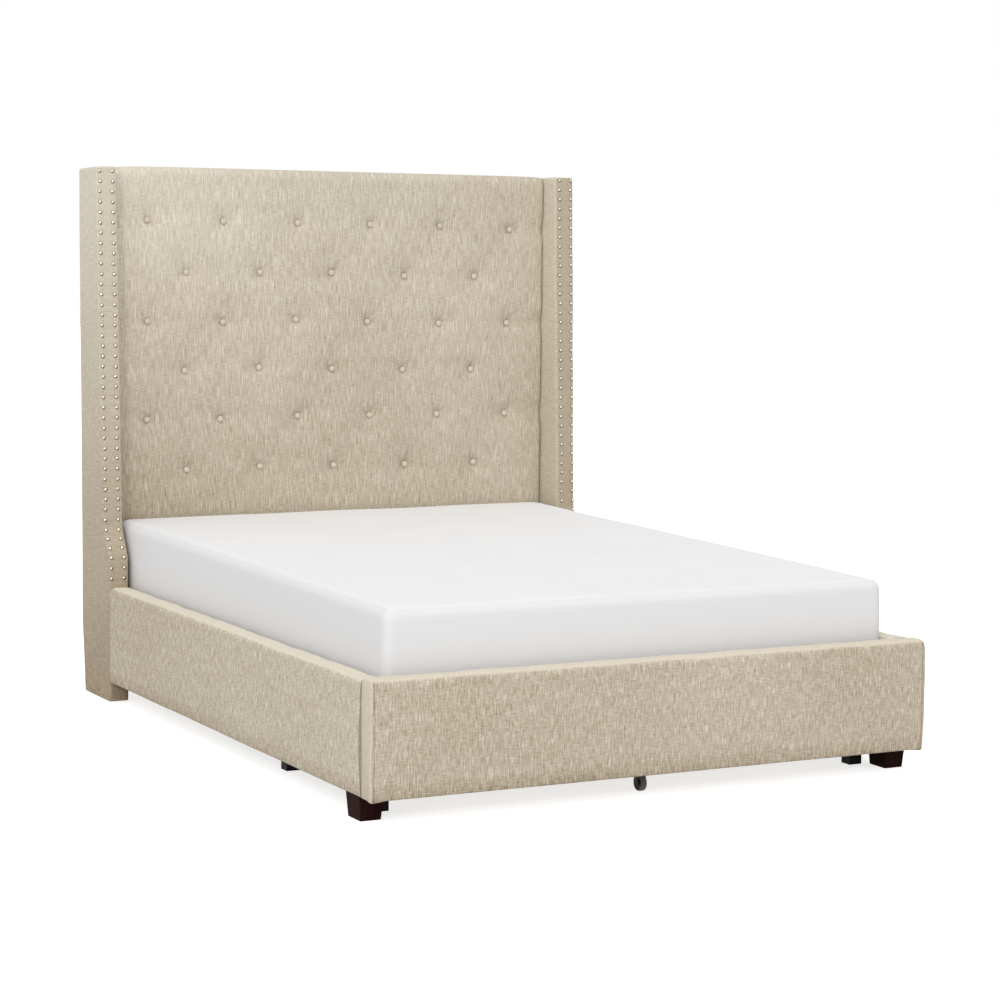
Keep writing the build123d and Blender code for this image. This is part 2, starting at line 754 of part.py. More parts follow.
# Mattress
with BuildPart() as mattress:
    x_mattress = x_in - mattress_side_gap
    block((-x_mattress, y_front_back + mattress_foot_gap, slat_top),
          (x_mattress, y_pad_front - mattress_head_gap, slat_top + mattress_thickness))
    fillet(mattress.edges().filter_by(Axis.Z), radius=mattress_corner)
    level_edges = mattress.edges().group_by(Axis.Z)
    fillet(level_edges[-1] + level_edges[0], radius=mattress_edge)
keep(mattress.part, "mattress")
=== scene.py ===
"""Dresses the platform bed: camera, light, cloth, wood and metal, and the padded pieces.

Metres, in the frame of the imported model: +Y is the head end, +Z is up.
"""
import math
import bpy
import numpy as np
from mathutils import Matrix, Vector


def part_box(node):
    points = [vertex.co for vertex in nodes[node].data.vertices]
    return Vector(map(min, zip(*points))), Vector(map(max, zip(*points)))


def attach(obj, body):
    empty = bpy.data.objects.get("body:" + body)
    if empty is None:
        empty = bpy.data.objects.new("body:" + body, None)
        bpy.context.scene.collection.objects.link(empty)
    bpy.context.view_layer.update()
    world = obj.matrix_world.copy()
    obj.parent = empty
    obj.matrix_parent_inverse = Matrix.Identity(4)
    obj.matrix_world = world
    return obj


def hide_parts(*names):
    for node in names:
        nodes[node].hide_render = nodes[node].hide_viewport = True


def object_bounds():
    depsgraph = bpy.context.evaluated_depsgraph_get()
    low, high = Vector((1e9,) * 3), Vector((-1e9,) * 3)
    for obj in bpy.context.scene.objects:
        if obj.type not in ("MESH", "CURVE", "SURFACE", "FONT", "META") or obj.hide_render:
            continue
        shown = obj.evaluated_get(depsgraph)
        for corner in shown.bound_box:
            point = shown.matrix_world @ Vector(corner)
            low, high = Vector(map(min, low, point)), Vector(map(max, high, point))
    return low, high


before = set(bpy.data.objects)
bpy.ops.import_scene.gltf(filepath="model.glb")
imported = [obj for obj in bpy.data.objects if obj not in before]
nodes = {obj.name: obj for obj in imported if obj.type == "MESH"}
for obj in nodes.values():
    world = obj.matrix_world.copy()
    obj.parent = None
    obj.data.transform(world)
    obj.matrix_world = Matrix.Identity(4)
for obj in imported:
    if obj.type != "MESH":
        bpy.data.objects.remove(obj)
cad_low, cad_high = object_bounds()

MM = 0.001

# The photograph's camera
CAMERA_PLACE = (-3.6134, -7.0453, 1.4929)
# Its yaw, pitch and roll in degrees
CAMERA_TURNS = (-27.709, 5.814, 0.673)
FOCAL_PIXELS = 2679.4
IMAGE_PIXELS = 1000
SENSOR_WIDTH = 36.0
CLIP_END = 100

# How strong the even light from all round is
AMBIENT = 0.68
# The key lamp's place, the point it is aimed at, its size and its power
KEY_PLACE = (-8.0, -10.7, 5.4)
KEY_TARGET = (0.0, 0.0, 0.8)
KEY_SIZE = 0.9
KEY_POWER = 340.0
# A broad light from overhead: its place, its way down, its width in degrees and its strength
OVERHEAD_PLACE = (0.0, 0.0, 6.0)
OVERHEAD_WAY = (0.35, 0.65, -1.0)
OVERHEAD_WIDTH = 60.0
OVERHEAD_STRENGTH = 0.95
# The floor's size, its glow for the camera, and its grey, which takes the shadow
FLOOR_SIZE = 60.0
FLOOR_GLOW = 0.74
FLOOR_GREY = 0.7

# Sizes that the frame's boxes don't give
TUFT_ROWS = 6
TUFT_WIDE_COUNT = 6
TUFT_PITCH_Z = 157.5 * MM
TUFT_TOP_MARGIN = 168.5 * MM
TUFT_SIDE_MARGIN = 135 * MM
TUFT_DEPTH = 14 * MM
BUTTON_RADIUS = 9.5 * MM
# How far each button sits from its regular place, across and up, in mm, row by row from the top
SEWN_OFF = [(0, 9), (2, 8), (3, 5), (4.5, 3), (4, 1.5), (9, -8), (2.5, 1.5), (0, 2), (-6, 2), (2, -8.5),
            (5, -9), (1, 3.5), (0, -0.5), (-2.5, 6.5), (-3.5, -2), (2.5, -9), (1.5, -9), (-2, 2.5),
            (-3.5, 9), (-1.5, 1.5), (-1.5, -5), (-4.5, -7), (-1, 5), (-8, 2), (5, 6.5), (6.5, 3), (-3, 1),
            (-2, -1.5), (5, -2), (1, 1.5), (5.5, -2.5), (8, -7), (9, -8)]
WING_DEPTH_TOP = 160 * MM
WING_DEPTH_SHOULDER = 207 * MM
WING_DEPTH_FOOT = 260 * MM
WING_RAKE = 25 * MM
WING_RAKE_HEIGHT = 220 * MM
WING_SHOULDER_HEIGHT = 560 * MM
WING_STEP_HEIGHT = 440 * MM
NAIL_RADIUS = 5.5 * MM
NAIL_PITCH = 31.9 * MM
NAIL_COUNT = 41
NAIL_END_MARGIN = 4 * MM
NAIL_ROWS = (7.5 * MM, 49 * MM)
# The sign of x on each side
SIDES = {"left": -1, "right": 1}
FACE_SWELL = 4 * MM
END_SWELL = 3 * MM

SEED = 11


# Scene set-up
def add_object(name, data):
    """A new object in the scene."""
    added = bpy.data.objects.new(name, data)
    bpy.context.scene.collection.objects.link(added)
    return added


def make_camera():
    """The camera that sees the bed as the photograph does."""
    yaw, pitch, roll = map(math.radians, CAMERA_TURNS)
    data = bpy.data.cameras.new("camera")
    data.sensor_width = SENSOR_WIDTH
    data.lens = FOCAL_PIXELS / IMAGE_PIXELS * SENSOR_WIDTH
    data.clip_end = CLIP_END
    right = Vector((math.cos(yaw), math.sin(yaw), 0))
    ahead = Vector((-math.sin(yaw) * math.cos(pitch), math.cos(yaw) * math.cos(pitch), -math.sin(pitch)))
    up = right.cross(ahead)
    tilted_right = right * math.cos(roll) + up * math.sin(roll)
    tilted_up = up * math.cos(roll) - right * math.sin(roll)
    turn = Matrix((tilted_right, tilted_up, -ahead)).transposed()
    camera = add_object("camera", data)
    camera.matrix_world = Matrix.Translation(CAMERA_PLACE) @ turn.to_4x4()
    bpy.context.scene.camera = camera


class Nodes:
    """A node tree, with short calls for the nodes that the world, the floor and the materials share."""

    def __init__(self, tree):
        self.tree = tree

    def put(self, socket, value):
        """Links an output to a socket, or sets a plain value on it."""
        if isinstance(value, bpy.types.NodeSocket):
            self.tree.links.new(value, socket)
        else:
            socket.default_value = value

    def node(self, kind, values=(), **settings):
        """A new node, with values or links for its sockets, and its settings by name."""
        node = self.tree.nodes.new(kind)
        for key, value in settings.items():
            setattr(node, key, value)
        for key, value in dict(values).items():
            self.put(node.inputs[key], value)
        return node

    def math(self, operation, a, b=0.0):
        return self.node("ShaderNodeMath", {0: a, 1: b}, operation=operation).outputs[0]

    def plus(self, first, *others):
        for other in others:
            first = self.math("ADD", first, other)
        return first

    def minus(self, a, b):
        return self.math("SUBTRACT", a, b)

    def times(self, a, b):
        return self.math("MULTIPLY", a, b)

    def abs(self, value):
        return self.math("ABSOLUTE", value)

    def spread(self, value, low, high, out_low=0.0, out_high=1.0):
        """The value's way from low to high, drawn over the way from out_low to out_high."""
        return self.node("ShaderNodeMapRange", {"Value": value, "From Min": low, "From Max": high,
                                                "To Min": out_low, "To Max": out_high}).outputs["Result"]

    def seen_plainly(self):
        """1 for what the camera sees straight, in metal or through glass, and 0 for all other light."""
        path = self.node("ShaderNodeLightPath").outputs
        seen = self.math("MAXIMUM", path["Is Camera Ray"], path["Is Glossy Ray"])
        return self.math("MAXIMUM", seen, path["Is Transmission Ray"])


def add_lamp(name, kind, place, way, power):
    """A lamp at a place, shining along a way."""
    data = bpy.data.lights.new(name, kind)
    data.energy = power
    turn = way.to_track_quat("-Z", "Y").to_matrix().to_4x4()
    add_object(name, data).matrix_world = Matrix.Translation(place) @ turn
    return data


def make_light():
    """A key lamp in front on the left and a broad light overhead, in an even white surround."""
    key = add_lamp("key", "AREA", KEY_PLACE, Vector(KEY_TARGET) - Vector(KEY_PLACE), KEY_POWER)
    key.shape = "SQUARE"
    key.size = KEY_SIZE
    overhead = add_lamp("overhead", "SUN", OVERHEAD_PLACE, Vector(OVERHEAD_WAY), OVERHEAD_STRENGTH)
    overhead.angle = math.radians(OVERHEAD_WIDTH)

    world = bpy.data.worlds.new("surround")
    bpy.context.scene.world = world
    world.use_nodes = True
    s = Nodes(world.node_tree)
    background = s.tree.nodes["Background"].inputs
    s.put(background["Color"], (1, 1, 1, 1))
    s.put(background["Strength"], s.spread(s.seen_plainly(), 0.0, 1.0, AMBIENT, 1.0))


def make_floor():
    """A pale floor that reads white to the camera and keeps a soft shadow."""
    half = FLOOR_SIZE / 2
    mesh = bpy.data.meshes.new("floor")
    mesh.from_pydata([(-half, -half, 0), (half, -half, 0), (half, half, 0), (-half, half, 0)], [],
                     [(0, 1, 2, 3)])
    floor = add_object("floor", mesh)
    material = bpy.data.materials.new("floor")
    material.use_nodes = True
    mesh.materials.append(material)
    s = Nodes(material.node_tree)
    s.tree.nodes.clear()
    matt = s.node("ShaderNodeBsdfDiffuse", {"Color": (FLOOR_GREY, FLOOR_GREY, FLOOR_GREY, 1)})
    glow = s.node("ShaderNodeEmission", {"Color": (1, 1, 1, 1),
                                         "Strength": s.times(s.seen_plainly(), FLOOR_GLOW)})
    lit = s.node("ShaderNodeAddShader", {0: matt.outputs[0], 1: glow.outputs[0]})
    s.node("ShaderNodeOutputMaterial", {"Surface": lit.outputs[0]})


# Materials
class Shader(Nodes):
    """The node tree of a new material, with calls for its surface."""

    def __init__(self, name):
        self.material = bpy.data.materials.new(name)
        self.material.use_nodes = True
        super().__init__(self.material.node_tree)
        self.surface = self.tree.nodes["Principled BSDF"]

    def place(self):
        """The point in the piece's own frame, as x, y and z."""
        point = self.node("ShaderNodeTexCoord").outputs["Object"]
        return self.node("ShaderNodeSeparateXYZ", {0: point}).outputs

    def facing(self):
        """The way that the surface faces in the piece's own frame, as x, y and z."""
        normal = self.node("ShaderNodeTexCoord").outputs["Normal"]
        return self.node("ShaderNodeSeparateXYZ", {0: normal}).outputs

    def noise(self, place, scale=1.0, detail=2.0, roughness=0.5):
        vector = self.node("ShaderNodeCombineXYZ", dict(enumerate(place))).outputs[0]
        return self.node("ShaderNodeTexNoise", {"Vector": vector, "Scale": scale, "Detail": detail,
                                                "Roughness": roughness}).outputs["Fac"]

    def streaks(self, across, along, per_metre, detail=2.0, offset=0.0):
        """Noise drawn out along the thread, with a count in a metre across it and one along it."""
        return self.noise((self.times(across, per_metre[0]), self.times(along, per_metre[1]), offset),
                          detail=detail)

    def mix(self, factor, a, b):
        """The colour a where the factor is 0, and b where it is 1."""
        return self.node("ShaderNodeMix", {"Factor": factor, "A": a, "B": b}, data_type="RGBA",
                         clamp_factor=False).outputs["Result"]

    def blend(self, factor, a, b):
        """The number a where the factor is 0, and b where it is 1."""
        return self.node("ShaderNodeMix", {0: factor, 2: a, 3: b}).outputs[0]

    def bump(self, height, distance, strength):
        node = self.node("ShaderNodeBump", {"Height": height, "Distance": distance, "Strength": strength})
        self.put(self.surface.inputs["Normal"], node.outputs["Normal"])

    def finish(self, **values):
        """Sets the surface's own sockets by name, with spaces for underscores."""
        for key, value in values.items():
            self.put(self.surface.inputs[key.replace("_", " ")], value)
        return self.material


def rgba(*seen):
    """A colour named as it is seen, from 0 to 255, in the renderer's linear values."""
    shares = [value / 255 for value in seen]
    return (*(s / 12.92 if s <= 0.04045 else ((s + 0.055) / 1.055) ** 2.4 for s in shares), 1.0)


# Faces that look along an axis by more than this share count as an end
END_FACING = 0.7


def turned(s, x, y, z):
    """Upright threads that go over a rail's top and round its foot end."""
    out = s.abs(x)
    end = s.math("GREATER_THAN", s.abs(s.facing()[1]), END_FACING)
    return s.plus(y, s.times(out, end)), s.minus(z, s.times(out, s.minus(1.0, end)))


def wrapped(s, x, y, z):
    """Upright threads that go round the drawer front's ends and back over its top."""
    behind = s.minus(y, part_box("drawer_front_cover")[0].y)
    end = s.math("GREATER_THAN", s.abs(s.facing()[0]), END_FACING)
    across = s.times(s.plus(s.abs(x), s.times(behind, end)), s.math("SIGN", x))
    return across, s.plus(z, s.times(behind, s.minus(1.0, end)))


# How a cloth lies on a piece: which way across and along its threads run
LAYS = {
    "upright": lambda s, x, y, z: (x, s.plus(z, y)),
    "front": wrapped,
    "rail": turned,
    "wing": lambda s, x, y, z: (z, s.minus(y, s.abs(x))),
}
# Each kind of thread's count in a metre, across and along
SLUB_THREADS, FINE_THREADS, CROSS_THREADS, WEFT_THREADS = (420, 24), (900, 60), (420, 40), (220, 50)
# Thick threads in a metre across, the band of the noise that draws them, and how dark ones differ from pale
THICK_THREADS = 260
THICK_BAND = (0.52, 0.68)
DEEP_SHARE, DEEP_STRETCH = 0.6, 1.4
# What slubs, fine threads, cross threads and clouds each add to the tone, and the limits of it
SLUB_SHARE, FINE_SHARE, CROSS_SHARE, CLOUD_SHARE = 0.46, 0.24, 0.30, 0.3
TONE_REACH = 0.16
TONE_LEAST, TONE_MOST = -0.4, 1.3
CLOUD_SCALE = 2.6
# Painted light and shade by the way a face looks: how pale the tone is painted over an end and over a top, as
# light, and on an edge that faces forward, as shade
PAINTED_FACING_TONES = (1.1, 1.15, 0.0)
PAINTED_FACING_BAND = (0.45, 0.85)
# The cloth grows darker towards its bottom edge, over this depth above the hem and by this tone
HEM_DEPTH, HEM_TONE = 45 * MM, -0.3
# A painted shadow in the gap where the cloth is sewn in runs out over its width, but leaves the end face within
# its lip
SEAM_WIDTH, SEAM_LIP, SEAM_SHADOW_STRENGTH = 4.5 * MM, 0.8 * MM, 0.8
# A shadow painted along the front's sewn corners: its width, its strength and the way that the faces there look
CORNER_WIDTH, CORNER_SHADOW_STRENGTH, CORNER_FACING = 3.5 * MM, 0.45, (-0.85, -0.5)
# The weave's relief
THREAD_PITCH = 1.3 * MM
FINE_RELIEF, CROSS_RELIEF, THICK_RELIEF, WEAVE_RELIEF = 0.5, 0.5, 0.35, 0.12
RELIEF_DEPTH, RELIEF_STRENGTH = 1.1 * MM, 0.5


def linen(name, lay, dark, light, streak, contrast, length=10, cross_streak=0.0, fade=(), painted_light_drift=0.0,
          painted_facing_light=(), hem=None, seam_shadow=None, corner=None):
    """A slubbed linen weave: thick and thin threads along one way, finer ones across.

    streak is how far the thick threads stand out, length how many of them there are along a metre, and
    cross_streak how far those across them stand out. fade is painted light and shade: how much paler the
    cloth is painted at the left's top and foot and the right's top and foot. The shift along the bed is
    painted light: how much paler the cloth is painted at the bed's foot than at its head. The facing light
    is painted light and shade: how far the cloth is painted paler over an end and over a top, and darker
    where it faces forwards. hem is the height at which it turns under, and the cloth is darker towards
    it. The place along the bed where it is sewn in, and the side that it comes from, set where a shadow
    is painted into the gap there, and corner is how far out the cloth is sewn to that of the ends, with a
    shadow painted along that line.
    """
    s = Shader(name)
    x, y, z = s.place()
    across, along = LAYS[lay](s, x, y, z)
    slub = s.streaks(across, along, SLUB_THREADS)
    fine = s.streaks(across, along, FINE_THREADS, offset=3.0)
    cross = s.streaks(along, across, CROSS_THREADS, offset=7.0)
    pale = s.streaks(across, along, (THICK_THREADS, length), detail=1.0, offset=11.0)
    deep = s.streaks(across, along, (THICK_THREADS, length * DEEP_STRETCH), detail=1.0, offset=23.0)
    thick = s.minus(s.spread(pale, *THICK_BAND), s.times(s.spread(deep, *THICK_BAND), DEEP_SHARE))
    cloud = s.noise((x, y, z), scale=CLOUD_SCALE, detail=1.0)
    threads = s.plus(s.times(slub, SLUB_SHARE), s.times(fine, FINE_SHARE), s.times(cross, CROSS_SHARE))
    parts = [s.spread(threads, 0.5 - TONE_REACH / contrast, 0.5 + TONE_REACH / contrast),
             s.times(thick, streak), s.times(s.minus(cloud, 0.5), CLOUD_SHARE)]
    if cross_streak:
        weft_shade = s.streaks(along, across, WEFT_THREADS, detail=1.0, offset=31.0)
        parts.append(s.times(s.minus(weft_shade, 0.5), cross_streak))
    # Painted light and shade: the cloth is painted paler and darker from corner to corner
    if fade:
        left = s.spread(z, 0.0, cad_high.z, fade[1], fade[0])
        right = s.spread(z, 0.0, cad_high.z, fade[3], fade[2])
        parts.append(s.blend(s.spread(x, cad_low.x, cad_high.x), left, right))
    # Painted light: the cloth is painted paler towards the bed's foot and darker towards its head
    if painted_light_drift:
        parts.append(s.spread(y, cad_low.y, cad_high.y, painted_light_drift / 2, -painted_light_drift / 2))
    # Darker towards the bottom edge
    if hem is not None:
        parts.append(s.spread(z, hem, hem + HEM_DEPTH, HEM_TONE, 0.0))
    tone = s.plus(*parts)
    # Painted light on ends and tops, and painted shade on faces that look forward, by the way each face looks
    if painted_facing_light:
        facing = s.facing()
        ways = (s.abs(facing[0]), facing[2], s.times(facing[1], -1.0))
        for share, towards, level in zip(painted_facing_light, ways, PAINTED_FACING_TONES):
            if share:
                tone = s.blend(s.spread(towards, *PAINTED_FACING_BAND, 0.0, share), tone, level)
    tone = s.math("MAXIMUM", s.math("MINIMUM", tone, TONE_MOST), TONE_LEAST)
    colour = s.mix(tone, dark, light)
    # Painted shadow in the gap where the cloth is sewn in
    if seam_shadow is not None:
        edge, way = seam_shadow
        shade = s.times(s.spread(y, edge, edge + way * SEAM_WIDTH, SEAM_SHADOW_STRENGTH, 0.0),
                        s.spread(y, edge, edge + way * SEAM_LIP))
        colour = s.mix(shade, colour, PAINTED_SEAM_SHADOW)
    # Painted shadow along the line where the front's cloth meets that of its ends
    if corner is not None:
        beside = s.abs(s.minus(s.abs(x), corner))
        line = s.times(s.spread(beside, 0.0, CORNER_WIDTH, CORNER_SHADOW_STRENGTH, 0.0),
                       s.spread(s.facing()[1], *CORNER_FACING, 1.0, 0.0))
        colour = s.mix(line, colour, PAINTED_SEAM_SHADOW)
    turn = 2 * math.pi / THREAD_PITCH
    weave = s.times(s.math("SINE", s.times(across, turn)), s.math("SINE", s.times(along, turn)))
    height = s.plus(slub, s.times(fine, FINE_RELIEF), s.times(cross, CROSS_RELIEF),
                    s.times(thick, THICK_RELIEF * streak), s.times(weave, WEAVE_RELIEF))
    s.bump(height, RELIEF_DEPTH, RELIEF_STRENGTH)
    return s.finish(Base_Color=colour, Roughness=0.92, Specular_IOR_Level=0.2, Sheen_Weight=0.12,
                    Sheen_Roughness=0.5)


# How plain cloth's clouds and grain add up, and how far from facing up its painted side shade begins
PLAIN_CLOUD_SHARE, PLAIN_GRAIN_SHARE, PLAIN_GRAIN_RELIEF = 0.35, 0.65, 0.5
SIDE_SHADE_FACING = (0.85, 0.99)


def plain_cloth(name, dark, light, pitch, depth, side_shade=None):
    """A fine plain cloth or knit, with a shade painted where it doesn't face up."""
    s = Shader(name)
    x, y, z = s.place()
    cloud = s.noise((x, y, z), scale=5.0)
    grain = s.noise((x, y, z), scale=700.0, detail=1.0)
    tone = s.plus(s.times(cloud, PLAIN_CLOUD_SHARE), s.times(grain, PLAIN_GRAIN_SHARE))
    colour = s.mix(s.spread(tone, 0.35, 0.65), dark, light)
    # Painted shade on faces that don't look up
    if side_shade is not None:
        colour = s.mix(s.spread(s.facing()[2], *SIDE_SHADE_FACING, 1.0, 0.0), colour, side_shade)
    turn = 2 * math.pi / pitch
    knit = s.times(s.math("SINE", s.times(s.plus(x, z), turn)), s.math("SINE", s.times(s.plus(y, z), turn)))
    s.bump(s.plus(knit, s.times(grain, PLAIN_GRAIN_RELIEF)), depth, 0.5)
    return s.finish(Base_Color=colour, Roughness=0.9, Specular_IOR_Level=0.2, Sheen_Weight=0.1,
                    Sheen_Roughness=0.5)


# Wood's fibres in a metre across and along the grain, its bands in a metre along it, and the rings in a band
FIBRES_ACROSS, FIBRES_ALONG = 420, 9
BANDS_ALONG = 1.4
RINGS = 7.0
RING_SHARE, FIBRE_SHARE = 0.35, 0.65


def wood(name, dark, light, along, roughness=0.5, specular=0.4, bands_across=26.0):
    """Straight-grained wood whose grain runs along one way, with its bands in a metre across."""
    s = Shader(name)
    x, y, z = s.place()
    a, b, c = {"x": (y, z, x), "y": (x, z, y), "z": (x, y, z)}[along]
    fibre = s.noise((s.times(a, FIBRES_ACROSS), s.times(b, FIBRES_ACROSS), s.times(c, FIBRES_ALONG)),
                    detail=3.0)
    bands = s.noise((s.times(a, bands_across), s.times(b, bands_across), s.times(c, BANDS_ALONG)),
                    detail=3.0, roughness=0.6)
    rings = s.math("FRACT", s.times(bands, RINGS))
    tone = s.plus(s.times(rings, RING_SHARE), s.times(fibre, FIBRE_SHARE))
    s.bump(fibre, 0.3 * MM, 0.2)
    return s.finish(Base_Color=s.mix(s.spread(tone, 0.2, 0.8), dark, light), Roughness=roughness,
                    Specular_IOR_Level=specular)


# How much lighter than its own colour a paint is in its clouds
CLOUD_GAIN, CLOUD_LIFT = 1.6, 0.004


def paint(name, colour, roughness, specular=0.3):
    """Paint or plastic with a fine uneven skin."""
    s = Shader(name)
    x, y, z = s.place()
    grain = s.noise((x, y, z), scale=900.0)
    cloud = s.noise((x, y, z), scale=30.0)
    lighter = tuple(min(1.0, CLOUD_GAIN * c + CLOUD_LIFT) for c in colour[:3]) + (1.0,)
    s.bump(grain, 0.2 * MM, 0.25)
    return s.finish(Base_Color=s.mix(s.spread(cloud, 0.3, 0.7), colour, lighter), Roughness=roughness,
                    Specular_IOR_Level=specular)


# How far the roughness of metal varies, and the way that the side painted as lit faces
SCRATCH = 0.06
PAINTED_LIT_WAY = (-0.5, -0.6, 0.5)


def metal(name, colour, roughness, painted_shade_colour=None):
    """Plated metal with faint uneven polish; given a shade colour, it is painted darker as shade on the side
    that is turned down and right.
    """
    s = Shader(name)
    # Painted light and shade: from the shade colour on faces turned down and right to the metal's own colour on
    # faces turned up and left
    if painted_shade_colour:
        normal = s.node("ShaderNodeTexCoord").outputs["Normal"]
        towards = s.node("ShaderNodeVectorMath", {0: normal, 1: PAINTED_LIT_WAY}, operation="DOT_PRODUCT")
        colour = s.mix(s.spread(towards.outputs["Value"], 0.3, 0.7), painted_shade_colour, colour)
    x, y, z = s.place()
    cloud = s.noise((x, y, z), scale=160.0, detail=3.0)
    rough = s.spread(cloud, 0.3, 0.7, roughness - SCRATCH, roughness + SCRATCH)
    s.bump(cloud, 0.1 * MM, 0.1)
    return s.finish(Base_Color=colour, Metallic=1.0, Roughness=rough)


# The dark and the light of each cloth and wood. The rails' cloth is the front's, painted a little lighter as
# light on the faces that look to the side
HEADBOARD_CLOTH = rgba(162, 147, 122), rgba(223, 214, 197)
RAIL_CLOTH = rgba(165, 149, 123), rgba(225, 216, 197)
FRONT_CLOTH = rgba(158, 142, 118), rgba(221, 211, 192)
WING_CLOTH = rgba(164, 147, 122), rgba(219, 211, 192)
BUTTON_CLOTH = rgba(200, 188, 167), rgba(228, 219, 202)
# The colour of the shadows painted into seams and along the front's corners
PAINTED_SEAM_SHADOW = rgba(96, 82, 62)
PINE = rgba(196, 162, 116), rgba(226, 198, 156)
PLYWOOD = rgba(204, 176, 134), rgba(228, 206, 168)


def make_materials():
    """Every material, by the name that the pieces below use."""
    front_low, front_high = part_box("drawer_front_cover")
    rail_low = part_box("side_rail_cover_left")[0]
    wing = {"streak": 0.12, "length": 12, "contrast": 0.7}
    return {
        "headboard": linen("headboard_linen", "upright", *HEADBOARD_CLOTH, streak=0.27, length=14,
                           contrast=0.9, fade=(0.47, -0.6, 0.0, 0.0)),
        "front": linen("front_linen", "front", *FRONT_CLOTH, streak=0.36, length=32,
                       cross_streak=0.5, contrast=0.85, painted_facing_light=(0.6, 0.75, 0.0), hem=front_low.z,
                       seam_shadow=(front_high.y - FRONT_BACK_GAP, -1), corner=front_high.x - FRONT_CORNER_IN),
        "rail": linen("rail_linen", "rail", *RAIL_CLOTH, streak=0.4, length=32,
                      cross_streak=0.6, contrast=1.1, painted_light_drift=0.24, painted_facing_light=(0.0, 0.75, 0.0), hem=rail_low.z,
                      seam_shadow=(rail_low.y + RAIL_FOOT_GAP, 1)),
        # The two wings are one cloth: their two copies differ only in painted light and shade
        "wing_left": linen("wing_linen_left", "wing", *WING_CLOTH, **wing, fade=(0.6, -0.48, 0.22, 0.22),
                           painted_facing_light=(0.0, 0.0, 0.2)),
        "wing_right": linen("wing_linen_right", "wing", *WING_CLOTH, **wing, fade=(0.6, -0.48, 0.42, 0.02),
                            painted_facing_light=(0.0, 0.0, 0.6)),
        "button": linen("button_linen", "upright", *BUTTON_CLOTH, streak=0.1, contrast=0.6),
        "back": plain_cloth("back_lining", rgba(176, 166, 146), rgba(196, 187, 168), 1.4 * MM, 0.2 * MM),
        "mattress": plain_cloth("mattress_knit", rgba(239, 239, 240), rgba(243, 243, 244), 2.2 * MM,
                                0.15 * MM, side_shade=rgba(230, 230, 231)),
        "nail": metal("nail_nickel", rgba(236, 229, 213), 0.3, painted_shade_colour=rgba(84, 72, 54)),
        # Painted shade for the nailheads' rims
        "nail_rim": metal("nail_rim_painted_shade", rgba(72, 60, 42), 0.5),
        "steel": metal("zinc_steel", rgba(190, 190, 192), 0.38),
        "slide": metal("slide_steel", rgba(200, 201, 204), 0.3),
        "axle": metal("dark_steel", rgba(74, 72, 70), 0.5),
        "leg": wood("espresso_wood", rgba(31, 14, 13), rgba(47, 25, 24), "z", roughness=0.55, specular=0.02),
        "black": paint("black_paint", rgba(12, 12, 15), roughness=0.45, specular=0.08),
        "plastic": paint("black_plastic", rgba(26, 26, 27), roughness=0.5),
        "tread": paint("grey_tread", rgba(98, 96, 95), roughness=0.6),
        "pine_long": wood("pine_lengthwise", *PINE, "y"),
        "pine_cross": wood("pine_crosswise", rgba(198, 164, 118), rgba(228, 200, 158), "x"),
        "pine_upright": wood("pine_upright", *PINE, "z"),
        "ply_long": wood("plywood_lengthwise", *PLYWOOD, "y", bands_across=12.0),
        "ply_cross": wood("plywood_crosswise", *PLYWOOD, "x", bands_across=12.0),
    }


# Meshes
def add_piece(name, vertices, faces, material, body, replaced):
    """A smooth mesh piece that rides on a body and stands for some CAD nodes."""
    mesh = bpy.data.meshes.new(name)
    mesh.from_pydata(vertices.tolist(), [], faces)
    mesh.polygons.foreach_set("use_smooth", [True] * len(mesh.polygons))
    mesh.materials.append(material)
    piece = add_object(name, mesh)
    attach(piece, body)
    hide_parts(*replaced)
    return piece


def ring_faces(rings, count):
    """Quads between rings of equal count, and a face at each end."""
    faces = []
    for i in range(rings - 1):
        low, high = i * count, (i + 1) * count
        for j in range(count):
            k = (j + 1) % count
            faces.append((low + j, low + k, high + k, high + j))
    faces.append(tuple(reversed(range(count))))
    faces.append(tuple(range((rings - 1) * count, rings * count)))
    return faces


def volume(vertices, faces):
    """The signed volume inside a closed mesh."""
    total = 0.0
    for size in sorted({len(face) for face in faces}):
        block = np.array([face for face in faces if len(face) == size])
        first = vertices[block[:, 0]]
        for j in range(1, size - 1):
            normals = np.cross(vertices[block[:, j]], vertices[block[:, j + 1]])
            total += float((first * normals).sum())
    return total / 6


def outward(vertices, faces):
    """The faces of a closed mesh, turned over if they look inwards."""
    return [tuple(reversed(face)) for face in faces] if volume(vertices, faces) < 0 else faces


def add_stack(name, rows, points, material, node, body="bed_frame"):
    """A closed piece made of a stack of equal rows, whose points have moved since."""
    faces = outward(points, ring_faces(len(rows), len(rows[0])))
    return add_piece(name, points, faces, material, body, [node])


def add_dome(vertices, faces, profile, steps, seat, ways, radius, height):
    """Adds a round head to a mesh: ways are those across, up and out of its seat."""
    across, up, out = (np.array(way) for way in ways)
    first = len(vertices)
    for radius_share, height_share in profile:
        for turn in np.radians(np.arange(steps) * 360 / steps):
            vertices.append(seat + out * height * height_share
                            + radius * radius_share * (across * math.cos(turn) + up * math.sin(turn)))
    faces += [tuple(first + i for i in face) for face in ring_faces(len(profile), steps)]


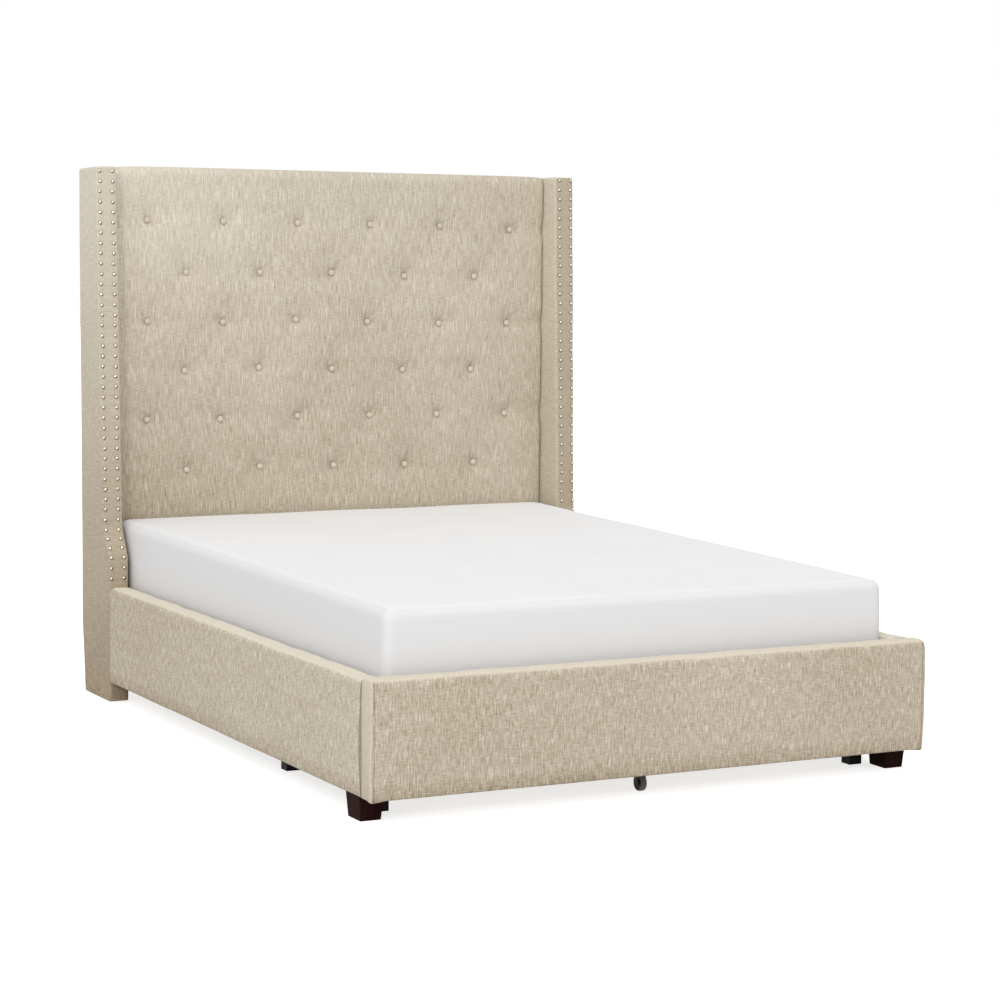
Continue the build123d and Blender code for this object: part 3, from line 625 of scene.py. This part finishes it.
def rounded_ring(low, high, radii, steps, counts):
    """Points round a rectangle with round corners, anticlockwise from the low side of the high edge.

    radii are those of the corners (high, low), (high, high), (low, high) and (low, low), and counts
    are the points inside the two kinds of straight side, so each call with equal counts matches.
    """
    (a0, b0), (a1, b1) = low, high
    limit = min(a1 - a0, b1 - b0) / 2
    radii = [min(r, limit) for r in radii]
    corners = [(a1 - radii[0], b0 + radii[0], -90), (a1 - radii[1], b1 - radii[1], 0),
               (a0 + radii[2], b1 - radii[2], 90), (a0 + radii[3], b0 + radii[3], 180)]
    arcs = []
    for (a, b, start), r in zip(corners, radii):
        angles = np.radians(start + np.linspace(0, 90, steps + 1))
        arcs.append(np.stack([a + r * np.cos(angles), b + r * np.sin(angles)], axis=1))
    points = []
    for i, arc in enumerate(arcs):
        following = arcs[(i + 1) % 4]
        inner = np.linspace(0, 1, counts[i % 2] + 2)[1:-1, None]
        points.append(arc)
        points.append(arc[-1] * (1 - inner) + following[0] * inner)
    return np.concatenate(points)


def quarter(distance, radius):
    """How far a quarter round of this radius stands back at a distance from the edge it rounds."""
    inside = np.clip(radius - distance, 0, radius)
    return radius - np.sqrt(np.maximum(radius ** 2 - inside ** 2, 0))


# The first place on a rounded end, in degrees round it
FIRST_TURN = 8


def stations(low, high, pitch, radius, steps):
    """Places along a piece, close together where its ends are rounded."""
    turn = radius * (1 - np.cos(np.radians(np.linspace(FIRST_TURN, 90, steps + 1))))
    middle_count = max(2, int(round((high - low - 2 * radius) / pitch)))
    middle = np.linspace(low + radius, high - radius, middle_count + 1)[1:-1]
    return np.concatenate([low + turn, middle, (high - turn)[::-1]])


# How many sine waves make up a random field, and how far their lengths differ
WAVE_COUNT = 10
WAVE_STRETCH = (0.7, 1.5)


def wobble(points, wavelength, seed):
    """A smooth random field between about -1 and 1, the same on every run."""
    draw = np.random.default_rng(SEED + seed)
    total = np.zeros(len(points))
    for _ in range(WAVE_COUNT):
        way = draw.normal(size=3)
        way /= np.linalg.norm(way)
        stretch = draw.uniform(*WAVE_STRETCH)
        phase = draw.uniform(0, 2 * math.pi)
        total += np.sin(points @ way * (2 * math.pi / wavelength * stretch) + phase)
    return total / math.sqrt(WAVE_COUNT)


def waves(points, wavelength, seed):
    """The same field from about 0 to 2, for a face that only ever lies below its highest level."""
    return np.maximum(1 + wobble(points, wavelength, seed), 0)


def ramp(value, low, high):
    """0 below low, 1 above high, and a smooth step between."""
    share = np.clip((value - low) / (high - low), 0, 1)
    return share * share * (3 - 2 * share)


def from_middle(value, low, high):
    """-1 at low, 0 half way and 1 at high."""
    return (value - (low + high) / 2) / ((high - low) / 2)


# Shared by the rails and the drawer's front
PANEL_PITCH = 12 * MM
PANEL_COUNTS = (38, 8)
TOP_BAND = 40 * MM


# Side rails
RAIL_ROUND = 14 * MM
RAIL_END_ROUND = 4 * MM
RAIL_FOOT_GAP = 4.5 * MM
RAIL_TOP_SWELL = {"left": 7 * MM, "right": 11 * MM}
RAIL_FOOT_SWELL = 3 * MM
RAIL_HEAD_ROUND = 20 * MM
RAIL_LOOSE_FROM = 80 * MM
RAIL_SIDE_WAVE = 0.9 * MM
RAIL_TOP_WAVE = 1.1 * MM


def make_rail(side, material):
    """A padded rail: its outer face swells, and its cloth isn't quite flat."""
    node = f"side_rail_cover_{side}"
    low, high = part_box(node)
    x_in, x_out = sorted((abs(low.x), abs(high.x)))
    low.y += RAIL_FOOT_GAP
    rows = []
    for y in stations(low.y, high.y, PANEL_PITCH, RAIL_HEAD_ROUND, 9):
        inset = quarter(min(y - low.y, high.y - y), RAIL_END_ROUND)
        dip = quarter(high.y - y, RAIL_HEAD_ROUND)
        ring = rounded_ring((x_in + inset, low.z + inset), (x_out - inset, high.z - max(inset, dip)),
                            [6 * MM, RAIL_ROUND, RAIL_ROUND, 4 * MM], 5, PANEL_COUNTS)
        rows.append(np.insert(ring, 1, y, axis=1))
    points = np.concatenate(rows)
    # Here and below x, y and z are views, so a change to one moves the points
    x, y, z = points.T
    outer = ramp(x, x_in + 20 * MM, x_out - 4 * MM)
    upper = ramp(z, high.z - TOP_BAND, high.z)
    loose = outer * ramp(high.y - y, 0.0, RAIL_LOOSE_FROM)
    x += loose * FACE_SWELL * (1 - from_middle(z, low.z, high.z) ** 2)
    x -= loose * RAIL_SIDE_WAVE * waves(points, 0.22, 1)
    z += upper * (RAIL_TOP_SWELL[side] * ramp(high.y - y, -10 * MM, 30 * MM)
                  - RAIL_TOP_WAVE * waves(points, 0.16, 2))
    z -= RAIL_FOOT_SWELL * (1 - ramp(z, low.z, low.z + 40 * MM))
    x *= SIDES[side]
    piece = add_stack(f"rail_upholstery_{side}", rows, points, material, node)


# Drawer front
FRONT_ROUND = 15 * MM
FRONT_END_ROUND = 7 * MM
FRONT_BACK_ROUND = 5 * MM
FRONT_TOP_SWELL = 7 * MM
FRONT_CORNER_DROP = 4 * MM
FRONT_RIGHT_SWELL = 3 * MM
FRONT_BACK_GAP = 2 * MM
FRONT_CORNER_IN = 6 * MM
FRONT_FACE_WAVE = 0.8 * MM
FRONT_TOP_WAVE = 1.0 * MM
# What share of the ends' rounding its foot and its back take
FRONT_FOOT_SHARE, FRONT_BACK_SHARE = 0.3, 0.4


def make_drawer_front(material):
    """The padded drawer front, full in the middle and close over its edges."""
    low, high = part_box("drawer_front_cover")
    high.y -= FRONT_BACK_GAP
    rows = []
    for x in stations(low.x, high.x, PANEL_PITCH, FRONT_END_ROUND, 7):
        inset = quarter(min(x - low.x, high.x - x), FRONT_END_ROUND)
        ring = rounded_ring((low.y + inset, low.z + inset * FRONT_FOOT_SHARE),
                            (high.y - inset * FRONT_BACK_SHARE, high.z - inset),
                            [3 * MM, FRONT_BACK_ROUND, FRONT_ROUND, 5 * MM], 6, PANEL_COUNTS)
        rows.append(np.insert(ring, 0, x, axis=1))
    points = np.concatenate(rows)
    x, y, z = points.T
    ahead = 1 - ramp(y, low.y + 3 * MM, low.y + 35 * MM)
    upper = ramp(z, high.z - TOP_BAND, high.z)
    y -= ahead * FACE_SWELL * (1 - from_middle(z, low.z, high.z) ** 2)
    y += ahead * FRONT_FACE_WAVE * waves(points, 0.24, 3)
    z += upper * (FRONT_TOP_SWELL - FRONT_TOP_WAVE * waves(points, 0.17, 4))
    corner = ramp(np.abs(x), high.x - 45 * MM, high.x - 4 * MM)
    lower = 1 - ramp(z, low.z, low.z + 50 * MM)
    z -= corner * lower * ahead * FRONT_CORNER_DROP
    ends = ramp(np.abs(x), high.x - 12 * MM, high.x)
    fullness = 1 - from_middle(z, low.z, high.z) ** 4
    x += np.sign(x) * ends * END_SWELL * fullness
    x += FRONT_RIGHT_SWELL * ramp(x, 0.0, high.x)
    piece = add_stack("drawer_front_upholstery", rows, points, material, "drawer_front_cover", "drawer")


# Wings
WING_EDGE = 8 * MM
WING_INNER_EDGE = 10 * MM
WING_INNER_SWELL = 3 * MM
WING_BACK_EDGE = 2.5 * MM
WING_TOP_ROUND = 7 * MM
WING_TOP_RISE = {"left": 4.5 * MM, "right": 0.5 * MM}
WING_FULLNESS = 4 * MM
WING_PITCH = 4.5 * MM
WING_COUNTS = (30, 12)
WING_WAVE = 0.5 * MM
WING_INNER_WAVE = 0.6 * MM
# How deep each nail pulls the cloth in, and how far round it
NAIL_PULL, NAIL_PULL_REACH = 1.1 * MM, 6.5 * MM
# The creases on a wing's side, from its outer nails back: the limits of length and depth in mm, and their width
NAIL_CREASE_LENGTH, NAIL_CREASE_DEPTH = (18, 42), (0.3, 1.1)
NAIL_CREASE_WIDTH = 5 * MM
# How many points trace the wing's edge where the nails are spaced along it
EDGE_POINTS = 4000


def wing_front(z):
    """How far forward the wing's front edge stands at a height: two lines joined by two arcs."""
    y_top, y_shoulder, y_foot = (cad_high.y - depth
                                 for depth in (WING_DEPTH_TOP, WING_DEPTH_SHOULDER, WING_DEPTH_FOOT))
    lean = (y_shoulder - y_top) / (cad_high.z - WING_SHOULDER_HEIGHT)
    slanted = y_shoulder + lean * (WING_SHOULDER_HEIGHT - z)
    share = ramp(z, WING_STEP_HEIGHT, WING_SHOULDER_HEIGHT)
    return np.where(z > WING_SHOULDER_HEIGHT, slanted, y_foot + (y_shoulder - y_foot) * share)


def nail_places():
    """Height and front of each nailhead down one row, evenly spaced along the wing's edge."""
    top = cad_high.z - NAIL_END_MARGIN - NAIL_RADIUS
    heights = np.linspace(top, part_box("side_rail_cover_right")[1].z, EDGE_POINTS)
    fronts = wing_front(heights)
    run = np.concatenate([[0], np.cumsum(np.hypot(np.diff(heights), np.diff(fronts)))])
    marks = np.arange(NAIL_COUNT) * NAIL_PITCH
    return np.column_stack([np.interp(marks, run, fronts), np.interp(marks, run, heights)])


def make_wing(side, material):
    """A wing: a padded panel whose front edge leans back and is pulled in at each nailhead."""
    node = f"wing_cover_{side}"
    low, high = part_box(node)
    x_in, x_out = sorted((abs(low.x), abs(high.x)))
    rows = []
    for z in stations(low.z, high.z, WING_PITCH, WING_TOP_ROUND, 8):
        top_inset = quarter(high.z - z, WING_TOP_ROUND)
        side_inset = quarter(min(high.z - z, z - low.z + 4 * MM), WING_TOP_ROUND)
        front = float(wing_front(np.array(z)))
        rake = WING_RAKE * max(0.0, 1 - (z - low.z) / (WING_RAKE_HEIGHT - low.z))
        ring = rounded_ring((x_in + side_inset, front + top_inset),
                            (x_out - side_inset, high.y - max(top_inset, rake)),
                            [WING_EDGE, WING_BACK_EDGE, WING_BACK_EDGE, WING_INNER_EDGE], 7, WING_COUNTS)
        rows.append(np.insert(ring, 2, z, axis=1))
    points = np.concatenate(rows)
    x, y, z = points.T
    front = wing_front(z)
    forward = 1 - ramp(y, front + 2 * MM, front + 14 * MM)
    outer = ramp(x, x_out - 20 * MM, x_out - 3 * MM)
    inner = 1 - ramp(x, x_in + 3 * MM, x_in + 20 * MM)
    draw = np.random.default_rng(SEED + 20)
    rail_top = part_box("side_rail_cover_right")[1].z
    for nail_y, nail_z in nail_places():
        for inset in NAIL_ROWS:
            away = (z - nail_z) ** 2 + (x - (x_out - inset)) ** 2
            y += forward * NAIL_PULL * np.exp(-away / (2 * NAIL_PULL_REACH ** 2))
        # The cloth is drawn towards the outer row of nails in short creases on the wing's side
        back = y - nail_y
        line = np.exp(-((z - nail_z) / NAIL_CREASE_WIDTH) ** 2)
        length = draw.uniform(*NAIL_CREASE_LENGTH) * MM
        depth = draw.uniform(*NAIL_CREASE_DEPTH)
        x -= outer * line * depth * MM * (1 - ramp(back, 4 * MM, length))
    y += forward * WING_WAVE * waves(points, 0.09, 5)
    x -= outer * WING_WAVE * waves(points, 0.3, 6)
    x += outer * WING_FULLNESS * ramp(z, rail_top, high.z)
    y += (1 - forward) * WING_FULLNESS * ramp(z, rail_top, high.z)
    top = ramp(z, high.z - 60 * MM, high.z)
    z += top * WING_TOP_RISE[side] * (1 - ramp(y, front, front + 150 * MM))
    x += inner * WING_INNER_WAVE * waves(points, 0.3, 7)
    pad_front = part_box("headboard_tufted_pad")[0].y
    before_pad = 1 - ramp(y, front + 20 * MM, pad_front - 8 * MM)
    across = (x_out - x) / (x_out - x_in)
    x -= WING_INNER_SWELL * before_pad * ramp(across, 0.45, 1.0)
    x *= SIDES[side]
    piece = add_stack(f"wing_upholstery_{side}", rows, points, material, node)


NAIL_DOME = 3.0 * MM
NAIL_STEPS = 14
NAIL_JITTER = 1.2 * MM
# A nailhead's half profile from its rim to its top, as shares of its radius and its height
NAIL_PROFILE = [(1.0, 0.0), (1.0, 0.12), (0.95, 0.36), (0.84, 0.58), (0.66, 0.78), (0.4, 0.93),
                (0.15, 1.0)]
# Rings of each nailhead's dome, out to in, that take the painted shade
NAIL_RIM_RINGS = 3


def make_nails(side, material, rim_material):
    """Domed nailheads in two rows, hammered in by hand, each square to the edge it sits on."""
    draw = np.random.default_rng(SEED + 30)
    places = nail_places()
    ways = np.gradient(places, axis=0)
    vertices, faces = [], []
    for inset in NAIL_ROWS:
        for (y, z), way in zip(places, ways):
            way = way / np.hypot(*way)
            along = np.array([0, way[0], way[1]])
            slip = draw.uniform(-NAIL_JITTER, NAIL_JITTER, 2)
            seat = np.array([SIDES[side] * (cad_high.x - inset + slip[0]), y, z]) + along * slip[1]
            add_dome(vertices, faces, NAIL_PROFILE, NAIL_STEPS, seat,
                     ([1, 0, 0], along, [0, way[1], -way[0]]), NAIL_RADIUS, NAIL_DOME)
    vertices = np.array(vertices)
    faces = outward(vertices, faces)
    piece = add_piece(f"nailhead_domes_{side}", vertices, faces, material, "bed_frame",
                      [f"nailheads_{side}"])
    piece.data.materials.append(rim_material)
    # The rim rings of each head take the painted shade
    in_head = np.arange(len(faces)) % ((len(NAIL_PROFILE) - 1) * NAIL_STEPS + 2)
    piece.data.polygons.foreach_set("material_index", (in_head < NAIL_RIM_RINGS * NAIL_STEPS).astype(int))


# Headboard
PAD_EDGE = 15 * MM
PAD_TOP_ROUND = 28 * MM
PAD_CROWN = 6.5 * MM
PAD_CROWN_SLOPE = 3.5 * MM
PAD_WAVE = 0.9 * MM
# What share of the side edges' rounding the top's corners take
PAD_TOP_INSET = 0.8
PAD_FINE_PITCH, PAD_COARSE_PITCH = 4.5 * MM, 25 * MM
# The bowl round each button: its share of the tuft's depth and how far it runs out
BOWL_SHARE, BOWL_REACH = 0.75, 17 * MM
# The wide dish round each bowl
DISH_DEPTH, DISH_REACH = 8.0 * MM, 62 * MM
# The creases that run out from each tuft, as an angle and what the drawn length and depth are multiplied by
CREASES = [(48, 1.25, 1.2), (132, 1.25, 1.2), (90, 0.85, 1.2), (228, 0.85, 0.7), (312, 0.85, 0.7),
           (180, 0.85, 0.7), (0, 0.85, 0.7)]
# The limits of their draws: degrees off that angle, and length, depth and width in mm
CREASE_OFF, CREASE_LENGTH, CREASE_DEPTH, CREASE_WIDTH = (-16, 16), (26, 52), (1.8, 4.0), (4.2, 6.2)
# How deep the outermost tufts draw the pad's side in, and how far up and down
SIDE_PULL, SIDE_PULL_REACH = 10 * MM, 34 * MM


def tuft_places():
    """The middle of each tuft, as x and z, and whether it is the outermost of a wide row."""
    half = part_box("headboard_tufted_pad")[1].x - TUFT_SIDE_MARGIN
    pitch = 2 * half / (TUFT_WIDE_COUNT - 1)
    places = []
    for row in range(TUFT_ROWS):
        count = TUFT_WIDE_COUNT - row % 2
        for i in range(count):
            off_x, off_z = SEWN_OFF[len(places)]
            places.append(((i - (count - 1) / 2) * pitch + off_x * MM,
                           cad_high.z - TUFT_TOP_MARGIN - row * TUFT_PITCH_Z + off_z * MM,
                           row % 2 == 0 and i in (0, count - 1)))
    return places


def tuft_depth(x, z):
    """How deep the cloth lies below the headboard's face at each point."""
    draw = np.random.default_rng(SEED)
    depth = np.zeros(len(x))
    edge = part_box("headboard_tufted_pad")[1].x
    for tuft_x, tuft_z, outermost in tuft_places():
        dx, dz = x - tuft_x, z - tuft_z
        away = np.hypot(dx, dz)
        bowl = TUFT_DEPTH * np.exp(-np.maximum(away - BUTTON_RADIUS, 0) / BOWL_REACH)
        dish = DISH_DEPTH * np.exp(-(away / DISH_REACH) ** 2)
        depth += bowl * BOWL_SHARE + dish
        for angle, longer, deeper in CREASES:
            turn = math.radians(angle + draw.uniform(*CREASE_OFF))
            reach = draw.uniform(*CREASE_LENGTH) * MM * longer
            size = draw.uniform(*CREASE_DEPTH) * MM * deeper
            width = draw.uniform(*CREASE_WIDTH) * MM
            along = dx * math.cos(turn) + dz * math.sin(turn)
            across = (-dx * math.sin(turn) + dz * math.cos(turn)) / width
            fold = (1 - across ** 2) * np.exp(-across ** 2)
            fade = ramp(along, 2 * MM, 12 * MM) * (1 - ramp(along, reach * 0.5, reach))
            depth += size * fold * fade
        if outermost:
            out = np.sign(tuft_x) * x
            pull = ramp(out, edge - TUFT_SIDE_MARGIN, edge) * np.exp(-(dz / SIDE_PULL_REACH) ** 2)
            depth += SIDE_PULL * pull
    return depth


def make_headboard(material):
    """The tufted pad: a front face with round edges, wrapped back over the top."""
    node = "headboard_tufted_pad"
    low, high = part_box(node)
    board_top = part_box("headboard_back_cover")[1].z
    board_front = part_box("headboard_backboard")[0].y
    shown_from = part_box("mattress")[1].z - 40 * MM
    front = low.y
    arc = np.radians(np.linspace(0, 90, 10))
    coarse = np.arange(low.z + 20 * MM, shown_from, PAD_COARSE_PITCH)
    fine = np.arange(shown_from, high.z - PAD_TOP_ROUND - 2 * MM, PAD_FINE_PITCH)
    column = [(front + 8 * MM, low.z), (front, low.z + 10 * MM)]
    column += [(front, z) for z in coarse] + [(front, z) for z in fine]
    column += [(front + PAD_TOP_ROUND * (1 - math.cos(a)), high.z - PAD_TOP_ROUND * (1 - math.sin(a)))
               for a in arc]
    column += [(y, high.z) for y in np.linspace(front + PAD_TOP_ROUND, high.y - 3 * MM, 8)[1:]]
    column += [(high.y, high.z - 3 * MM), (high.y, board_top), (board_front, board_top), (board_front, low.z)]
    column = np.array(column)
    faces_front = np.clip(1 - (column[:, 0] - front) / PAD_TOP_ROUND, 0, 1)
    near_top = ramp(column[:, 1], high.z - PAD_TOP_ROUND, high.z) * PAD_TOP_INSET
    rows = []
    for x in stations(low.x, high.x, PAD_FINE_PITCH, PAD_EDGE, 6):
        inset = quarter(min(x - low.x, high.x - x), PAD_EDGE)
        rows.append(np.column_stack([np.full(len(column), x), column[:, 0] + inset * faces_front,
                                     column[:, 1] - inset * near_top]))
    points = np.concatenate(rows)
    x, y, z = points.T
    forward = 1 - ramp(y, front + 2 * MM, front + PAD_TOP_ROUND * 0.9)
    cloth = forward * ramp(z, low.z, low.z + 60 * MM)
    y += cloth * (tuft_depth(x, z) + PAD_WAVE * waves(points, 0.19, 8))
    share = x / high.x
    rise = (PAD_CROWN - PAD_CROWN_SLOPE * share) * (1 - np.abs(share) ** 16)
    z += rise * ramp(z, high.z - 4 * PAD_TOP_ROUND, high.z)
    piece = add_stack("headboard_upholstery", rows, points, material, node)


# A button's half profile from its rim to its top, as shares of its radius
BUTTON_PROFILE = [(1.0, -0.35), (1.0, 0.06), (0.95, 0.26), (0.82, 0.42), (0.6, 0.54), (0.32, 0.61),
                  (0.1, 0.63)]
BUTTON_STEPS = 20
# How far in front of its bowl's bottom each button's seat lies
BUTTON_LIFT = 3 * MM


def make_buttons(material):
    """Covered buttons, low and round, one in each tuft."""
    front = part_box("headboard_tufted_pad")[0].y
    seat_y = front + TUFT_DEPTH * BOWL_SHARE + DISH_DEPTH - BUTTON_LIFT
    vertices, faces = [], []
    for x, z, _ in tuft_places():
        add_dome(vertices, faces, BUTTON_PROFILE, BUTTON_STEPS, np.array([x, seat_y, z]),
                 ([1, 0, 0], [0, 0, 1], [0, -1, 0]), BUTTON_RADIUS, BUTTON_RADIUS)
    vertices = np.array(vertices)
    add_piece("covered_buttons", vertices, outward(vertices, faces), material, "bed_frame",
              ["tufting_buttons"])


# Mattress
MATTRESS_FOOT_CORNER = 27 * MM
MATTRESS_HEAD_CORNER = 55 * MM
MATTRESS_EDGE = 26 * MM
MATTRESS_RISE = 7 * MM
MATTRESS_FALL = 13 * MM
MATTRESS_SWELL = 3 * MM
# How far its upper and lower edges are drawn in, how much its middle rises, and how wavy its top is
MATTRESS_DRAW = 3.5 * MM
MATTRESS_CROWN = 4 * MM
MATTRESS_WAVE = 0.8 * MM
MATTRESS_COUNTS = (90, 66)
LEAST_CORNER = 1 * MM


def make_mattress(material):
    """A plain foam mattress with soft edges and a slight crown."""
    low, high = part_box("mattress")
    arc = np.radians(np.linspace(0, 90, 9))
    side = [(MATTRESS_EDGE * (1 - math.sin(a)), MATTRESS_EDGE * (1 - math.cos(a))) for a in arc]
    run = [(inset, low.z + rise) for inset, rise in side]
    run += [(0.0, z) for z in np.linspace(low.z + MATTRESS_EDGE, high.z - MATTRESS_EDGE, 16)[1:-1]]
    run += [(inset, high.z - rise) for inset, rise in reversed(side)]
    flat = np.linspace(MATTRESS_EDGE, (high.x - low.x) / 2 - 2 * MM, 44)[1:]
    run = [(inset, low.z) for inset in reversed(flat)] + run + [(inset, high.z) for inset in flat]
    rows = []
    for inset, z in run:
        foot = max(MATTRESS_FOOT_CORNER - inset, LEAST_CORNER)
        head = max(MATTRESS_HEAD_CORNER - inset, LEAST_CORNER)
        ring = rounded_ring((low.x + inset, low.y + inset), (high.x - inset, high.y - inset),
                            [foot, head, head, foot], 8, MATTRESS_COUNTS)
        rows.append(np.insert(ring, 2, z, axis=1))
    points = np.concatenate(rows)
    x, y, z = points.T
    pull = from_middle(z, low.z, high.z) ** 2
    centre = (low + high) / 2
    scale_x = 1 + (MATTRESS_SWELL - MATTRESS_DRAW * pull) / (high.x - centre.x)
    scale_y = 1 - MATTRESS_DRAW / (high.y - centre.y) * pull
    x[:] = centre.x + (x - centre.x) * scale_x
    y[:] = centre.y + (y - centre.y) * scale_y
    across = np.abs(x - centre.x) / (high.x - centre.x)
    towards_head = (y - centre.y) / (high.y - centre.y)
    crown = MATTRESS_CROWN * (1 - np.maximum(across, np.abs(towards_head)) ** 3)
    top = ramp(z, high.z - 4 * MM, high.z)
    z += top * (crown + MATTRESS_WAVE * wobble(points, 0.5, 9))
    upper = (z - low.z) / (high.z - low.z)
    z += np.clip(upper, 0, 1) * (MATTRESS_RISE + MATTRESS_FALL * towards_head)
    piece = add_stack("mattress_foam", rows, points, material, "mattress")


# Legs
LEG_BEVEL = 1.5 * MM
LEG_TAPER = 5 * MM
# How far in the bevel goes, as a share of how far it goes up
LEG_BEVEL_SHARE = 0.6


def make_leg(side, material):
    """A short leg with eased edges, tapered to the floor."""
    node = f"front_leg_{side}"
    low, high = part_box(node)
    centre = (low + high) / 2
    half = (high - low) / 2
    rows = []
    for z in (low.z, low.z + LEG_BEVEL, high.z - LEG_BEVEL, high.z):
        taper = LEG_TAPER * (1 - (z - low.z) / (high.z - low.z))
        inset = LEG_BEVEL * LEG_BEVEL_SHARE if z in (low.z, high.z) else 0
        x, y = half.x - taper - inset, half.y - taper - inset
        ring = rounded_ring((centre.x - x, centre.y - y), (centre.x + x, centre.y + y), [LEG_BEVEL] * 4, 3,
                            (1, 1))
        rows.append(np.insert(ring, 2, z, axis=1))
    piece = add_stack(f"tapered_leg_{side}", rows, np.concatenate(rows), material, node)
    piece.data.polygons.foreach_set("use_smooth", [False] * len(piece.data.polygons))


# Caster wheel
WHEEL_STEPS = 48
# Half profiles from the middle outwards, in mm from the axle and from the wheel's middle plane
CORE_PROFILE = [(18.5, 9.0), (16.6, 9.0), (15.2, 7.4), (10.4, 6.6), (9.0, 7.2), (8.0, 9.4), (7.4, 10.0),
                (3.05, 10.0)]
TREAD_PROFILE = [(22.5, 0.0), (22.5, 1.2), (22.0, 1.6), (22.4, 2.1), (22.3, 5.4), (21.7, 7.6), (20.6, 8.7),
                 (19.4, 9.0), (18.5, 9.0)]


def make_turned(name, half_profile, material, node):
    """A turned ring round the caster's axle, its profile mirrored about the middle plane."""
    low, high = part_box("caster_tread")
    centre = (low + high) / 2
    profile = [(r, -w) for r, w in reversed(half_profile)] + [(r, w) for r, w in half_profile if w > 0]
    turns = np.radians(np.arange(WHEEL_STEPS) * 360 / WHEEL_STEPS)
    points = np.array([(centre.x + w * MM, centre.y + r * MM * math.cos(t), centre.z + r * MM * math.sin(t))
                       for t in turns for r, w in profile])
    # The last ring joins the first, so the end faces go
    faces = [tuple(i % len(points) for i in face) for face in ring_faces(WHEEL_STEPS + 1, len(profile))[:-2]]
    add_piece(name, points, outward(points, faces), material, "caster_wheel", [node])


def both(*names):
    """The left and the right node of each name."""
    return [f"{name}_{side}" for name in names for side in SIDES]


# The CAD nodes that stay as they are, by their material
KEPT = {
    "pine_long": both("side_rail_board", "slat_ledge") + ["centre_beam"],
    "pine_cross": ["slats", "front_cross_rail", "headboard_top_rail", "headboard_middle_rail",
                   "headboard_bottom_rail"],
    "pine_upright": both("headboard_post", "wing_core"),
    "ply_cross": ["headboard_backboard", "drawer_front_board", "drawer_inner_front", "drawer_back",
                  "drawer_bottom_panel"],
    "ply_long": both("drawer_side") + ["drawer_divider", "drawer_bottom_rib"],
    "black": both("drawer_bearer") + ["centre_beam_legs", "bearer_legs_front", "bearer_legs_rear",
                                      "bearer_spacers"],
    "steel": both("rail_joint_plate", "front_corner_bracket") + ["beam_hangers", "frame_bolts"],
    "slide": both("slide_fixed", "slide_middle", "slide_inner"),
    "plastic": ["levelling_feet", "wing_glides", "caster_bracket"],
    "axle": ["caster_axle"],
    "back": ["headboard_back_cover"],
}


def dress_kept_nodes(materials):
    """Gives the CAD nodes that stay their materials."""
    for key, names in KEPT.items():
        for name in names:
            slots = nodes[name].data.materials
            slots.clear()
            slots.append(materials[key])


scene = bpy.context.scene
scene.view_settings.view_transform = "Standard"
make_camera()
make_light()
make_floor()
materials = make_materials()
for side in SIDES:
    make_rail(side, materials["rail"])
    make_wing(side, materials[f"wing_{side}"])
    make_nails(side, materials["nail"], materials["nail_rim"])
    make_leg(side, materials["leg"])
make_drawer_front(materials["front"])
make_headboard(materials["headboard"])
make_buttons(materials["button"])
make_mattress(materials["mattress"])
make_turned("caster_wheel_core", CORE_PROFILE, materials["plastic"], "caster_wheel")
make_turned("caster_tread_ring", TREAD_PROFILE, materials["tread"], "caster_tread")
dress_kept_nodes(materials)
